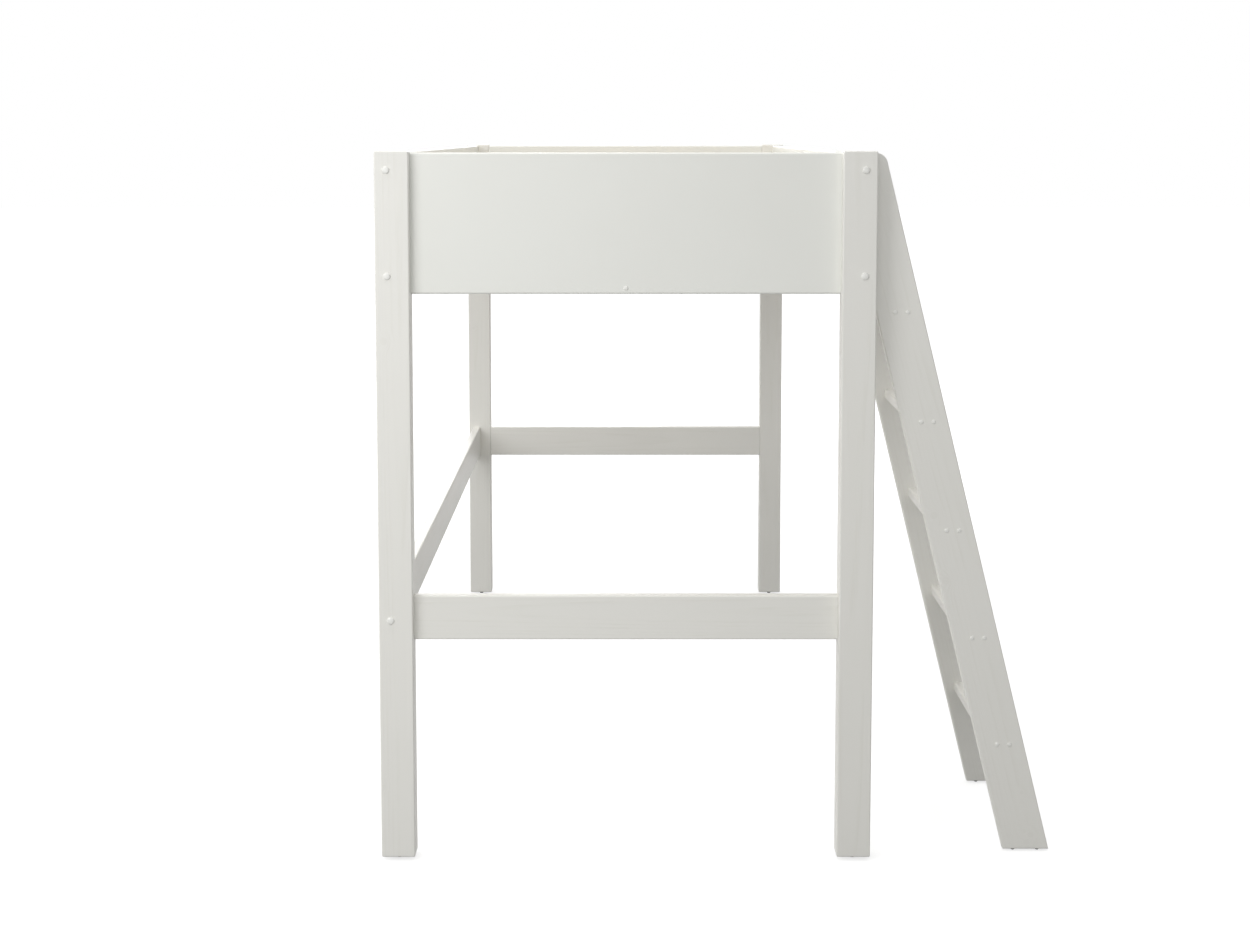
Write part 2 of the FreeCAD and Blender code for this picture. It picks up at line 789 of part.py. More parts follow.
def sunk_screw(label, through, bite):
    """A screw whose head lies in a bore under a cap."""
    head_top, head_bottom = "screw_head_height - screw_bore_depth", "-screw_bore_depth"
    return wood_screw(label, head_top, head_bottom, f"-({through} + {bite})")


def slat_base_screws():
    side = [
        (f"{front} * (inner_half_width - batten_thickness)", y, "batten_middle", sign_of(-front) + "x")
        for front in (1, -1)
        for y in batten_screw_places()
    ]
    end = [
        (
            f"{side} * end_batten_screw_offset",
            f"{right} * (inner_half_length - batten_thickness)",
            "batten_middle",
            sign_of(-right) + "y",
        )
        for right in (1, -1)
        for side in (1, -1)
    ]
    batten_screw = flush_screw("batten_screw", "batten_thickness", "batten_screw_bite")
    group("batten_screws", batten_screw, side + end)
    slat_screw = flush_screw("slat_screw", "slat_thickness", "slat_screw_bite")
    corners = [
        (f"{front} * batten_line", f"{right} * slat_first", "slat_top", "+z")
        for front in (1, -1)
        for right in (1, -1)
    ]
    group("slat_screws", slat_screw, corners)


def capped_screws():
    """Screws under small caps: into the steps, and through the end panels into their battens."""
    cap = domed_cap(
        "screw_cap",
        "screw_cap_diameter",
        "screw_cap_height",
        "screw_cap_round",
        "screw_bore",
        "screw_cap_stem",
    )
    step_screw = sunk_screw("step_screw", "stringer_thickness", "step_screw_bite")
    sides = [
        (f"panel_face + {x}", f"ladder_y + {right} * ladder_width / 2", z, sign_of(right) + "y")
        for right in (1, -1)
        for x, z in step_screw_places()
    ]
    group("step_screws", step_screw, sides)
    group("step_screw_caps", cap, sides)

    end_screw = sunk_screw("end_batten_screw", "panel_thickness", "batten_screw_bite")
    ends = [
        ("0", f"{right} * (inner_half_length + panel_thickness)", "batten_middle", sign_of(right) + "y")
        for right in (1, -1)
    ]
    group("end_batten_screws", end_screw, ends)
    group("end_panel_screw_caps", cap, ends)


def glides():
    post_glide = glide(
        "post_glide",
        "post_glide_height",
        "post_glide_diameter",
        "post_glide_base_diameter",
        "post_glide_pin_diameter",
        "post_glide_pin_length",
    )
    corners = [
        (f"{front} * post_x", f"{right} * post_y", "post_glide_height", "+z")
        for front in (1, -1)
        for right in (1, -1)
    ]
    group("post_glides", post_glide, corners)

    ladder_glide = glide(
        "ladder_glide",
        "ladder_glide_height",
        "ladder_glide_diameter",
        "ladder_glide_base_diameter",
        "ladder_glide_pin_diameter",
        "ladder_glide_pin_length",
    )
    feet = [
        (f"panel_face + {x}", f"ladder_y + {right} * stringer_offset", "ladder_glide_height", "+z")
        for right in (1, -1)
        for x in ("ladder_heel + ladder_glide_inset", "ladder_toe - ladder_glide_inset")
    ]
    group("ladder_glides", ladder_glide, feet)


def check_and_write():
    """Stop on any failed object or bad shape, then write each node's solids."""
    doc.recompute()
    for obj in doc.Objects:
        if "Invalid" in obj.State or "Error" in obj.State:
            raise RuntimeError(f"{obj.Label} failed: {obj.State}")
    for node in nodes:
        if node.Shape.isNull() or not node.Shape.isValid():
            raise RuntimeError(f"{node.Label} has no valid shape")
    os.makedirs("parts", exist_ok=True)
    for node in nodes:
        node.Shape.exportStep(f"parts/{node.Label}.step")
        print(node.Label, len(node.Shape.Solids), round(node.Shape.Volume))


fill_sheet("Sizes", SIZES, str)
fill_sheet("Places", PLACES, lambda formula: "=" + expression(formula))
for front_name, front in (("front", 1), ("back", -1)):
    for right_name, right in (("right", 1), ("left", -1)):
        post(f"post_{front_name}_{right_name}", front, right)
    side_batten(f"slat_batten_{front_name}", front)
    slat_ribbon(f"slat_ribbon_{front_name}", front)
for right_name, right in (("right", 1), ("left", -1)):
    end_panel(f"end_panel_{right_name}", right)
    end_rail(f"end_rail_{right_name}", right)
    end_batten(f"slat_batten_{right_name}", right)
    stringer(f"ladder_stringer_{right_name}", right)
side_panel_back()
side_panel_front()
back_rail()
slats()
steps()
post_hardware()
ladder_hardware()
dowels()
slat_base_screws()
capped_screws()
glides()
check_and_write()
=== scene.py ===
"""Looks of the high sleeper: the finish of its boards, and its caps, screws, glides and slat ribbons.

Lengths are in metres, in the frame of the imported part: +Z up, +Y along the bed, +X towards the ladder side.
"""

import math
import random

import bmesh
import bpy
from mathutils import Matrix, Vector


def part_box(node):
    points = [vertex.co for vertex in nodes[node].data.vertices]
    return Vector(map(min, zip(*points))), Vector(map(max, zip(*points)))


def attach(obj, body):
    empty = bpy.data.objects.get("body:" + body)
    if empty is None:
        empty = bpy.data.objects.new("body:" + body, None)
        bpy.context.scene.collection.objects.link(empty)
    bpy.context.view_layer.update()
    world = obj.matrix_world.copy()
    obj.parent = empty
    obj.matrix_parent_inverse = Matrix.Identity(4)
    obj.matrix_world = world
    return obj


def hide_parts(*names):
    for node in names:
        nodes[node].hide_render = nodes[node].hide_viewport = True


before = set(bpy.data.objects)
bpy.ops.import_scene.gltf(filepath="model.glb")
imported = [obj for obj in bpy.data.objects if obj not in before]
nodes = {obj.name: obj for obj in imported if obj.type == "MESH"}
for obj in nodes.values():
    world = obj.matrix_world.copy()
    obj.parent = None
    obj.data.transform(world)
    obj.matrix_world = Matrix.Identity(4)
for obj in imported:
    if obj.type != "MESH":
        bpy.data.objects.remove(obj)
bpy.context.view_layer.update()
MM = 0.001

# The photograph's view
PHOTO_WIDTH = 1250
FOCAL_PIXELS = 1746.5
SENSOR_WIDTH = 36
EYE_HEIGHT = 1469 * MM
EYE_DISTANCE = 3430 * MM
EYE_OFFSET = -3.8 * MM
EYE_PITCH = math.radians(4.824)
FRAME_SHIFT = (0.0008, -0.15)

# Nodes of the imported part, in groups
POSTS = ("post_front_left", "post_front_right", "post_back_left", "post_back_right")
END_RAILS = ("end_rail_left", "end_rail_right")
PANELS = ("end_panel_left", "end_panel_right", "side_panel_front", "side_panel_back")
STRINGERS = ("ladder_stringer_left", "ladder_stringer_right")
STEPS = tuple(f"ladder_step_{number}" for number in range(1, 6))
SLATS = tuple(f"slat_{number:02d}" for number in range(1, 15))
SIDE_BATTENS = ("slat_batten_front", "slat_batten_back")
END_BATTENS = ("slat_batten_left", "slat_batten_right")
RIBBONS = ("slat_ribbon_front", "slat_ribbon_back")
DOWELS = ("end_frame_dowels", "back_rail_dowels")
HIDDEN_STEEL = ("post_bolts", "bolt_inserts", "ladder_inserts", "step_screws", "end_batten_screws")
LADDER_LEAN_SHARE = 0.247


def srgb(red, green, blue):
    """A colour given as the eye sees it, 0 to 255, in the linear values that shaders use."""

    def linear(value):
        share = value / 255
        return share / 12.92 if share <= 0.04045 else ((share + 0.055) / 1.055) ** 2.4

    return (linear(red), linear(green), linear(blue), 1)


# Colours
PAINT_WHITE = srgb(232, 233, 228)
PAINT_ON_PINE = srgb(233, 232, 227)
PAINT_OVER_GRAIN = srgb(226, 225, 218)
CAP_WHITE = srgb(238, 238, 234)
CAP_SHADE = srgb(231, 231, 226)
PINE_PALE = srgb(230, 211, 178)
PINE_LATE = srgb(203, 168, 122)
PINE_KNOT = srgb(128, 84, 50)
BEECH_PALE = srgb(206, 168, 124)
BEECH_FLECK = srgb(176, 134, 92)
ZINC_LIGHT = srgb(206, 207, 209)
ZINC_DARK = srgb(170, 172, 176)
GLIDE_DARK = srgb(62, 62, 62)
GLIDE_PALE = srgb(80, 80, 79)
RIBBON_PALE = srgb(222, 217, 203)
# Painted shade for the valleys between the ribbon's threads
RIBBON_SHADE = srgb(186, 179, 161)


class Graph:
    """A node tree under construction: it makes nodes, and sets or links their inputs."""

    def __init__(self, tree):
        self.tree = tree

    def feed(self, socket, value):
        if isinstance(value, bpy.types.NodeSocket):
            self.tree.links.new(value, socket)
        else:
            socket.default_value = value

    def node(self, kind, inputs=None, **settings):
        made = self.tree.nodes.new(kind)
        for name, value in settings.items():
            setattr(made, name, value)
        for socket, value in (inputs or {}).items():
            self.feed(made.inputs[socket], value)
        return made

    def math(self, operation, *values):
        made = self.node("ShaderNodeMath", operation=operation)
        for socket, value in zip(made.inputs, values):
            self.feed(socket, value)
        return made.outputs[0]

    def vector_math(self, operation, *values):
        made = self.node("ShaderNodeVectorMath", operation=operation)
        for socket, value in zip(made.inputs, values):
            self.feed(socket, value)
        return made.outputs["Value" if operation in ("LENGTH", "DOT_PRODUCT") else "Vector"]

    def half(self, value):
        return self.math("MULTIPLY", value, 0.5)

    def minus(self, value):
        return self.math("MULTIPLY", value, -1.0)

    def rest(self, share):
        """What a share leaves of 1."""
        return self.math("SUBTRACT", 1.0, share)

    def spread(self, share, low, high):
        """A share of 0 to 1 spread from low to high."""
        return self.math("MULTIPLY_ADD", share, high - low, low)

    def combine(self, x=0.0, y=0.0, z=0.0):
        return self.node("ShaderNodeCombineXYZ", {"X": x, "Y": y, "Z": z}).outputs[0]

    def separate(self, vector):
        return self.node("ShaderNodeSeparateXYZ", {"Vector": vector}).outputs

    def smooth_step(self, value, low, high):
        """0 below low, 1 above high, and a smooth rise between them."""
        made = self.node(
            "ShaderNodeMapRange",
            {"Value": value, "From Min": low, "From Max": high},
            interpolation_type="SMOOTHSTEP",
        )
        return made.outputs["Result"]

    def noise(self, vector, scale, detail=2.0, roughness=0.5):
        return self.node(
            "ShaderNodeTexNoise",
            {"Vector": vector, "Scale": scale, "Detail": detail, "Roughness": roughness},
        ).outputs

    def mix_colours(self, share, first, second):
        made = self.node("ShaderNodeMix", data_type="RGBA")
        self.feed(made.inputs[0], share)
        self.feed(made.inputs[6], first)
        self.feed(made.inputs[7], second)
        return made.outputs[2]


# Shader groups
FLOAT, VECTOR = "NodeSocketFloat", "NodeSocketVector"


def shader_group(name, inputs, outputs):
    """An empty shader group with named sockets; gives its graph, inputs and outputs."""
    tree = bpy.data.node_groups.new(name, "ShaderNodeTree")
    for label, (kind, default) in inputs.items():
        socket = tree.interface.new_socket(label, in_out="INPUT", socket_type=kind)
        if default is not None:
            socket.default_value = default
    for label in outputs:
        tree.interface.new_socket(label, in_out="OUTPUT", socket_type=FLOAT)
    graph = Graph(tree)
    return graph, graph.node("NodeGroupInput").outputs, graph.node("NodeGroupOutput").inputs


def use_group(graph, group, **values):
    """The outputs of a group placed in a material, with its inputs named by words joined with _."""
    made = graph.node("ShaderNodeGroup")
    made.node_tree = group
    for name, value in values.items():
        graph.feed(made.inputs[name.replace("_", " ").title()], value)
    return made.outputs


# Wood figure: sizes are shares of the knot or ring unless they are given in MM
KNOT_MISSING_SHARE = 0.5
KNOT_SIZES = (0.4, 1.0)
KNOT_RIM = (0.8, 1.05)
KNOT_TONES = (0.6, 1.0)
KNOT_RING = 1.6 * MM
SWELL_REACH = 2.0
SWELL_HEIGHT = 1.6
DRIFT_SCALE = (6, 6, 1.2)
NOISE_MIDDLE = (0.5, 0.5, 0.5)
RING_DRIFT_SCALE = 0.37
RING_DRIFT = 1.6
LATE_WOOD = (0.35, 0.9)
RING_END = (0.9, 1.0)
FIBRE_STRETCH = 0.02
PATCH_SCALE = (110, 110, 9)
PATCH_RANGE = (0.46, 0.66)


def wood_figure_group():
    """Growth rings, fibre and knots in a board whose grain runs along Z and whose wide face is across X."""
    graph, given, result = shader_group(
        "wood figure",
        {
            "Vector": (VECTOR, None),
            "Pith": (VECTOR, (0, 0.05, 0)),
            "Tilt": (FLOAT, 0.01),
            "Ring Spacing": (FLOAT, 4 * MM),
            "Waviness": (FLOAT, 8 * MM),
            "Fibre Width": (FLOAT, 0.6 * MM),
            "Knot Size": (FLOAT, 9 * MM),
            "Knot Spacing": (FLOAT, 160 * MM),
        },
        ("Rings", "Fibre", "Knots", "Patches"),
    )
    x, y, z = graph.separate(given["Vector"])
    pith_x, pith_y, start = graph.separate(given["Pith"])
    vector = graph.vector_math("ADD", given["Vector"], graph.combine(0.0, 0.0, start))

    knot_plane = graph.combine(x, graph.math("ADD", z, start))
    knot_plane = graph.vector_math("DIVIDE", knot_plane, graph.combine(*[given["Knot Spacing"]] * 3))
    cells = graph.node(
        "ShaderNodeTexVoronoi", {"Vector": knot_plane, "Scale": 1.0}, voronoi_dimensions="2D"
    )
    chance, size_share, _ = graph.separate(cells.outputs["Color"])
    present = graph.math("GREATER_THAN", chance, KNOT_MISSING_SHARE)
    radius = graph.math("MULTIPLY", given["Knot Size"], graph.spread(size_share, *KNOT_SIZES))
    distance = graph.math("MULTIPLY", cells.outputs["Distance"], given["Knot Spacing"])
    past_rim = graph.smooth_step(graph.math("DIVIDE", distance, radius), *KNOT_RIM)
    knot = graph.math("MULTIPLY", graph.rest(past_rim), present)
    reach = graph.math("DIVIDE", distance, graph.math("MULTIPLY", radius, SWELL_REACH))
    swell = graph.math("POWER", math.e, graph.minus(graph.math("POWER", reach, 2.0)))
    height = graph.math("MULTIPLY", present, SWELL_HEIGHT)
    swell = graph.math("MULTIPLY", graph.math("MULTIPLY", swell, radius), height)

    slow = graph.noise(graph.vector_math("MULTIPLY", vector, DRIFT_SCALE), 1.0)["Color"]
    drift = graph.vector_math("SUBTRACT", slow, NOISE_MIDDLE)
    drift_x, drift_y, _ = graph.separate(drift)
    pith_y = graph.math("MULTIPLY_ADD", z, given["Tilt"], pith_y)
    from_pith_x = graph.math("MULTIPLY_ADD", drift_x, given["Waviness"], graph.math("SUBTRACT", x, pith_x))
    from_pith_y = graph.math("MULTIPLY_ADD", drift_y, given["Waviness"], graph.math("SUBTRACT", y, pith_y))
    reach = graph.vector_math("LENGTH", graph.combine(from_pith_x, from_pith_y))
    phase = graph.math("DIVIDE", graph.math("ADD", reach, swell), given["Ring Spacing"])
    slow_phase = graph.combine(graph.math("MULTIPLY", phase, RING_DRIFT_SCALE))
    uneven = graph.noise(slow_phase, 1.0, detail=1.0)["Fac"]
    saw = graph.math("FRACT", graph.math("MULTIPLY_ADD", uneven, RING_DRIFT, phase))
    late = graph.smooth_step(saw, *LATE_WOOD)
    ring_end = graph.rest(graph.smooth_step(saw, *RING_END))
    rings = graph.math("MULTIPLY", late, ring_end)

    across = graph.math("DIVIDE", 1.0, given["Fibre Width"])
    along = graph.math("MULTIPLY", across, FIBRE_STRETCH)
    fibre_space = graph.vector_math("MULTIPLY", vector, graph.combine(across, across, along))
    fibre = graph.noise(fibre_space, 1.0, detail=3.0, roughness=0.6)["Fac"]

    knot_rings = graph.math("FRACT", graph.math("DIVIDE", distance, KNOT_RING))
    inside_knot = graph.math("MULTIPLY", knot, graph.spread(knot_rings, *KNOT_TONES))
    graph.feed(result["Rings"], graph.math("MULTIPLY", rings, graph.rest(knot)))
    graph.feed(result["Fibre"], fibre)
    graph.feed(result["Knots"], inside_knot)
    patches = graph.noise(graph.vector_math("MULTIPLY", vector, PATCH_SCALE), 1.0)["Fac"]
    graph.feed(result["Patches"], graph.smooth_step(patches, *PATCH_RANGE))
    return graph.tree


PAINT_TONE_SCALE = 2.3
PAINT_GLOSS_SCALE = 14.0


def paint_film_group():
    """The skin of sprayed satin paint: fine orange peel, and slow differences in tone and gloss."""
    graph, given, result = shader_group(
        "paint film",
        {"Vector": (VECTOR, None), "Peel Size": (FLOAT, 3 * MM)},
        ("Height", "Tone", "Gloss"),
    )
    peel = graph.math("DIVIDE", 1.0, given["Peel Size"])
    graph.feed(result["Height"], graph.noise(given["Vector"], peel, detail=1.5, roughness=0.45)["Fac"])
    tone = graph.noise(given["Vector"], PAINT_TONE_SCALE, detail=3.0, roughness=0.55)["Fac"]
    graph.feed(result["Tone"], tone)
    gloss = graph.noise(given["Vector"], PAINT_GLOSS_SCALE, detail=3.0, roughness=0.6)["Fac"]
    graph.feed(result["Gloss"], gloss)
    return graph.tree


THREAD_CROWN = (0.6, 1.0)


def weave_group():
    """Plain weave on a UV map in metres: the height of the threads and which of them lies on top."""
    graph, given, result = shader_group(
        "plain weave", {"Vector": (VECTOR, None), "Thread": (FLOAT, 1.1 * MM)}, ("Height", "Over")
    )
    count = graph.vector_math("DIVIDE", given["Vector"], graph.combine(*[given["Thread"]] * 3))
    u, v, _ = graph.separate(count)
    parity = graph.math("ADD", graph.math("FLOOR", u), graph.math("FLOOR", v))
    over = graph.math("GREATER_THAN", graph.math("MODULO", graph.math("ABSOLUTE", parity), 2.0), 0.5)
    crowns = []
    for place in (u, v):
        crowns.append(graph.math("SINE", graph.math("MULTIPLY", graph.math("FRACT", place), math.pi)))
    warp = graph.math("MULTIPLY", crowns[0], graph.spread(crowns[1], *THREAD_CROWN))
    weft = graph.math("MULTIPLY", crowns[1], graph.spread(crowns[0], *THREAD_CROWN))
    choice = graph.node("ShaderNodeMix", {"Factor": over, "A": warp, "B": weft}, data_type="FLOAT")
    graph.feed(result["Height"], choice.outputs[0])
    graph.feed(result["Over"], over)
    return graph.tree


WOOD_FIGURE = wood_figure_group()
PAINT_FILM = paint_film_group()
PLAIN_WEAVE = weave_group()


# Materials: ranges of roughness and tone, and scales of their noise
PAINTED_PINE_ROUGHNESS = (0.34, 0.5)
PAINTED_PANEL_ROUGHNESS = (0.34, 0.46)
PAINT_TONE_SHARE = 0.4
GRAIN_TONE_SHARE = 0.4
GRAIN_PATCHES = (0.25, 1.0)
PINE_ROUGHNESS = (0.68, 0.5)
PINE_LATE_TONES = (0.6, 1.1)
PINE_STREAKS = (0.5, 0.8)
PINE_STREAK_SHARE = 0.22
BEECH_ROUGHNESS = (0.5, 0.7)
BEECH_FLECK_SCALE = (180, 900, 900)
BEECH_FLECK_RANGE = (0.5, 0.7)
ZINC_ROUGHNESS = (0.24, 0.46)
ZINC_CLOUD_SCALE = 420.0
ZINC_MARK_SCALE = (2600, 900, 2600)
CAP_ROUGHNESS = (0.28, 0.4)
GLIDE_ROUGHNESS = (0.44, 0.56)
PLASTIC_SKIN_SCALE = 2600.0
PLASTIC_FLOW_SCALE = 130.0
RIBBON_ROUGHNESS = (0.82, 0.9)
RIBBON_SLUB_SCALE = (900, 60, 1)
RIBBON_SLUB_TONES = (0.7, 1.2)
RIBBON_SHEEN = 0.15
# The heart of the tree beside a board: how far sideways and away, along the tree, and the board's tilt
PITH_SIDEWAYS = 0.02
PITH_AWAY = (0.03, 0.07)
TREE_LENGTH = 40
BOARD_TILT = 0.02


def new_material(name):
    """A material with an empty Principled shader; gives its graph and that shader."""
    material = bpy.data.materials.new(name)
    material.use_nodes = True
    material.node_tree.nodes.clear()
    graph = Graph(material.node_tree)
    shader = graph.node("ShaderNodeBsdfPrincipled")
    graph.node("ShaderNodeOutputMaterial", {"Surface": shader.outputs[0]})
    return material, graph, shader


def bump(graph, height, depth, under=None):
    """A bump of that depth in metres, laid over another one where given."""
    made = graph.node("ShaderNodeBump", {"Height": height, "Distance": depth, "Strength": 1.0})
    if under is not None:
        graph.feed(made.inputs["Normal"], under)
    return made.outputs["Normal"]


def board_space(graph, name, order, lean=0.0):
    """Coordinates from the middle of a board: order names the axes across, through and along it."""
    low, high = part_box(name)
    middle = (low + high) / 2
    place = graph.node("ShaderNodeTexCoord").outputs["Object"]
    turned = graph.node(
        "ShaderNodeMapping",
        {"Vector": place, "Location": middle, "Rotation": (0, lean, 0)},
        vector_type="TEXTURE",
    ).outputs[0]
    axes = dict(zip("xyz", graph.separate(turned)))
    return place, graph.combine(*[axes[letter] for letter in order])


def board_pith(name):
    """Where the heart of the tree lay beside this board, with a start along it, and the board's tilt."""
    draw = random.Random(name)
    side = draw.choice((-1, 1))
    sideways = draw.uniform(-PITH_SIDEWAYS, PITH_SIDEWAYS)
    away = side * draw.uniform(*PITH_AWAY)
    start = draw.uniform(0, TREE_LENGTH)
    return (sideways, away, start), draw.uniform(-BOARD_TILT, BOARD_TILT)


def wood_figure(graph, name, order, lean=0.0, **sizes):
    place, across = board_space(graph, name, order, lean)
    pith, tilt = board_pith(name)
    return place, use_group(graph, WOOD_FIGURE, vector=across, pith=pith, tilt=tilt, **sizes)


def painted_pine(name, order, lean=0.0):
    """Satin white paint on a pine board, with the grain showing faintly through it."""
    material, graph, shader = new_material(f"painted_pine_{name}")
    place, figure = wood_figure(
        graph, name, order, lean, ring_spacing=6 * MM, waviness=14 * MM, fibre_width=0.9 * MM
    )
    film = use_group(graph, PAINT_FILM, vector=place, peel_size=2.2 * MM)
    streaks = graph.math("MULTIPLY", figure["Rings"], graph.spread(figure["Patches"], *GRAIN_PATCHES))
    marked = graph.math("MAXIMUM", streaks, figure["Knots"])
    tone = graph.math("MULTIPLY", film["Tone"], PAINT_TONE_SHARE)
    tone = graph.math("MULTIPLY_ADD", marked, GRAIN_TONE_SHARE, tone)
    graph.feed(shader.inputs["Base Color"], graph.mix_colours(tone, PAINT_ON_PINE, PAINT_OVER_GRAIN))
    graph.feed(shader.inputs["Roughness"], graph.spread(film["Gloss"], *PAINTED_PINE_ROUGHNESS))
    grain = bump(graph, marked, depth=0.1 * MM)
    grain = bump(graph, figure["Fibre"], depth=0.06 * MM, under=grain)
    skin = bump(graph, film["Height"], depth=0.02 * MM, under=grain)
    graph.feed(shader.inputs["Normal"], skin)
    return material


def painted_panel():
    """Satin white paint on a smooth panel."""
    material, graph, shader = new_material("painted_panel")
    place = graph.node("ShaderNodeTexCoord").outputs["Object"]
    film = use_group(graph, PAINT_FILM, vector=place, peel_size=2.6 * MM)
    tone = graph.math("MULTIPLY", film["Tone"], PAINT_TONE_SHARE)
    graph.feed(shader.inputs["Base Color"], graph.mix_colours(tone, PAINT_WHITE, PAINT_OVER_GRAIN))
    graph.feed(shader.inputs["Roughness"], graph.spread(film["Gloss"], *PAINTED_PANEL_ROUGHNESS))
    graph.feed(shader.inputs["Normal"], bump(graph, film["Height"], depth=0.03 * MM))
    return material


def bare_pine(name, order):
    """Planed, untreated pine."""
    material, graph, shader = new_material(f"bare_pine_{name}")
    _, figure = wood_figure(graph, name, order, ring_spacing=4.2 * MM, waviness=12 * MM)
    late = graph.math("MULTIPLY", figure["Rings"], graph.spread(figure["Fibre"], *PINE_LATE_TONES))
    wood = graph.mix_colours(late, PINE_PALE, PINE_LATE)
    streaks = graph.smooth_step(figure["Fibre"], *PINE_STREAKS)
    streaks = graph.math("MULTIPLY", streaks, PINE_STREAK_SHARE)
    wood = graph.mix_colours(streaks, wood, PINE_LATE)
    wood = graph.mix_colours(figure["Knots"], wood, PINE_KNOT)
    graph.feed(shader.inputs["Base Color"], wood)
    graph.feed(shader.inputs["Roughness"], graph.spread(figure["Rings"], *PINE_ROUGHNESS))
    grain = bump(graph, figure["Rings"], depth=0.08 * MM)
    fibre = bump(graph, figure["Fibre"], depth=0.12 * MM, under=grain)
    graph.feed(shader.inputs["Normal"], fibre)
    return material


def beech():
    """Turned beech: short flecks along the dowel."""
    material, graph, shader = new_material("turned_beech")
    place = graph.node("ShaderNodeTexCoord").outputs["Object"]
    along = graph.vector_math("MULTIPLY", place, BEECH_FLECK_SCALE)
    flecks = graph.noise(along, 1.0, detail=3.0, roughness=0.6)["Fac"]
    marked = graph.smooth_step(flecks, *BEECH_FLECK_RANGE)
    graph.feed(shader.inputs["Base Color"], graph.mix_colours(marked, BEECH_PALE, BEECH_FLECK))
    graph.feed(shader.inputs["Roughness"], graph.spread(flecks, *BEECH_ROUGHNESS))
    graph.feed(shader.inputs["Normal"], bump(graph, flecks, depth=0.08 * MM))
    return material


def zinc_steel():
    """Zinc plate: cloudy tone and fine marks from tumbling."""
    material, graph, shader = new_material("zinc_plated_steel")
    place = graph.node("ShaderNodeTexCoord").outputs["Object"]
    clouds = graph.noise(place, ZINC_CLOUD_SCALE, detail=4.0, roughness=0.65)["Fac"]
    marks = graph.noise(graph.vector_math("MULTIPLY", place, ZINC_MARK_SCALE), 1.0)["Fac"]
    graph.feed(shader.inputs["Base Color"], graph.mix_colours(clouds, ZINC_LIGHT, ZINC_DARK))
    graph.feed(shader.inputs["Roughness"], graph.spread(clouds, *ZINC_ROUGHNESS))
    graph.feed(shader.inputs["Normal"], bump(graph, marks, depth=0.01 * MM))
    shader.inputs["Metallic"].default_value = 1.0
    return material


def moulded_plastic(name, light, shade, roughness, depth):
    """Moulded plastic with a finely spark-eroded skin."""
    material, graph, shader = new_material(name)
    place = graph.node("ShaderNodeTexCoord").outputs["Object"]
    skin = graph.noise(place, PLASTIC_SKIN_SCALE, roughness=0.6)["Fac"]
    flow = graph.noise(place, PLASTIC_FLOW_SCALE)["Fac"]
    graph.feed(shader.inputs["Base Color"], graph.mix_colours(flow, light, shade))
    graph.feed(shader.inputs["Roughness"], graph.spread(skin, *roughness))
    graph.feed(shader.inputs["Normal"], bump(graph, skin, depth))
    return material


def woven_ribbon():
    """Plain-woven cotton webbing, with painted shade in the valleys between its threads."""
    material, graph, shader = new_material("woven_ribbon")
    place = graph.node("ShaderNodeUVMap", uv_map="UVMap").outputs[0]
    weave = use_group(graph, PLAIN_WEAVE, vector=place, thread=1.2 * MM)
    thread_space = graph.vector_math("MULTIPLY", place, RIBBON_SLUB_SCALE)
    slubs = graph.noise(thread_space, 1.0, detail=3.0, roughness=0.6)["Fac"]
    # Painted shade: colour follows the threads' height, darker in the valleys between them and paler on their
    # crowns; slubs add random tone
    lit = graph.math("MULTIPLY", weave["Height"], graph.spread(slubs, *RIBBON_SLUB_TONES))
    graph.feed(shader.inputs["Base Color"], graph.mix_colours(lit, RIBBON_SHADE, RIBBON_PALE))
    graph.feed(shader.inputs["Roughness"], graph.spread(weave["Over"], *RIBBON_ROUGHNESS))
    graph.feed(shader.inputs["Normal"], bump(graph, lit, depth=0.25 * MM))
    shader.inputs["Sheen Weight"].default_value = RIBBON_SHEEN
    return material


def finish_boards():
    """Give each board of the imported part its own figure, and the panels their paint."""
    lean = -math.atan(LADDER_LEAN_SHARE)
    painted = [(name, "xyz", 0.0) for name in POSTS]
    painted += [(name, "zyx", 0.0) for name in END_RAILS]
    painted += [("back_rail", "zxy", 0.0)]
    painted += [(name, "xzy", 0.0) for name in STEPS]
    painted += [(name, "xyz", lean) for name in STRINGERS]
    for name, order, tilt in painted:
        nodes[name].material_slots[0].material = painted_pine(name, order, tilt)

    bare = [(name, "yzx") for name in SLATS]
    bare += [(name, "zxy") for name in SIDE_BATTENS]
    bare += [(name, "zyx") for name in END_BATTENS]
    for name, order in bare:
        nodes[name].material_slots[0].material = bare_pine(name, order)

    panel_paint = painted_panel()
    for name in PANELS:
        nodes[name].material_slots[0].material = panel_paint
    turned_beech = beech()
    for name in DOWELS:
        nodes[name].material_slots[0].material = turned_beech
    for name in HIDDEN_STEEL:
        nodes[name].material_slots[0].material = ZINC


ZINC = zinc_steel()
CAP_PLASTIC = moulded_plastic("cap_plastic", CAP_WHITE, CAP_SHADE, CAP_ROUGHNESS, depth=0.004 * MM)
GLIDE_PLASTIC = moulded_plastic("glide_plastic", GLIDE_DARK, GLIDE_PALE, GLIDE_ROUGHNESS, depth=0.012 * MM)
finish_boards()


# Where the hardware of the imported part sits
MERGE_DISTANCE = 0.001 * MM


def solid_boxes(name):
    """The lowest and highest corner of each separate solid in a node, in a steady order."""
    shell = bmesh.new()
    shell.from_mesh(nodes[name].data)
    bmesh.ops.remove_doubles(shell, verts=shell.verts, dist=MERGE_DISTANCE)
    unseen = set(shell.verts)
    boxes = []
    while unseen:
        front = [unseen.pop()]
        found = []
        while front:
            vertex = front.pop()
            found.append(vertex.co.copy())
            for edge in vertex.link_edges:
                other = edge.other_vert(vertex)
                if other in unseen:
                    unseen.remove(other)
                    front.append(other)
        low = Vector(min(point[axis] for point in found) for axis in range(3))
        high = Vector(max(point[axis] for point in found) for axis in range(3))
        boxes.append((low, high))
    shell.free()
    return sorted(boxes, key=lambda box: [round(value, 4) for value in box[0]])


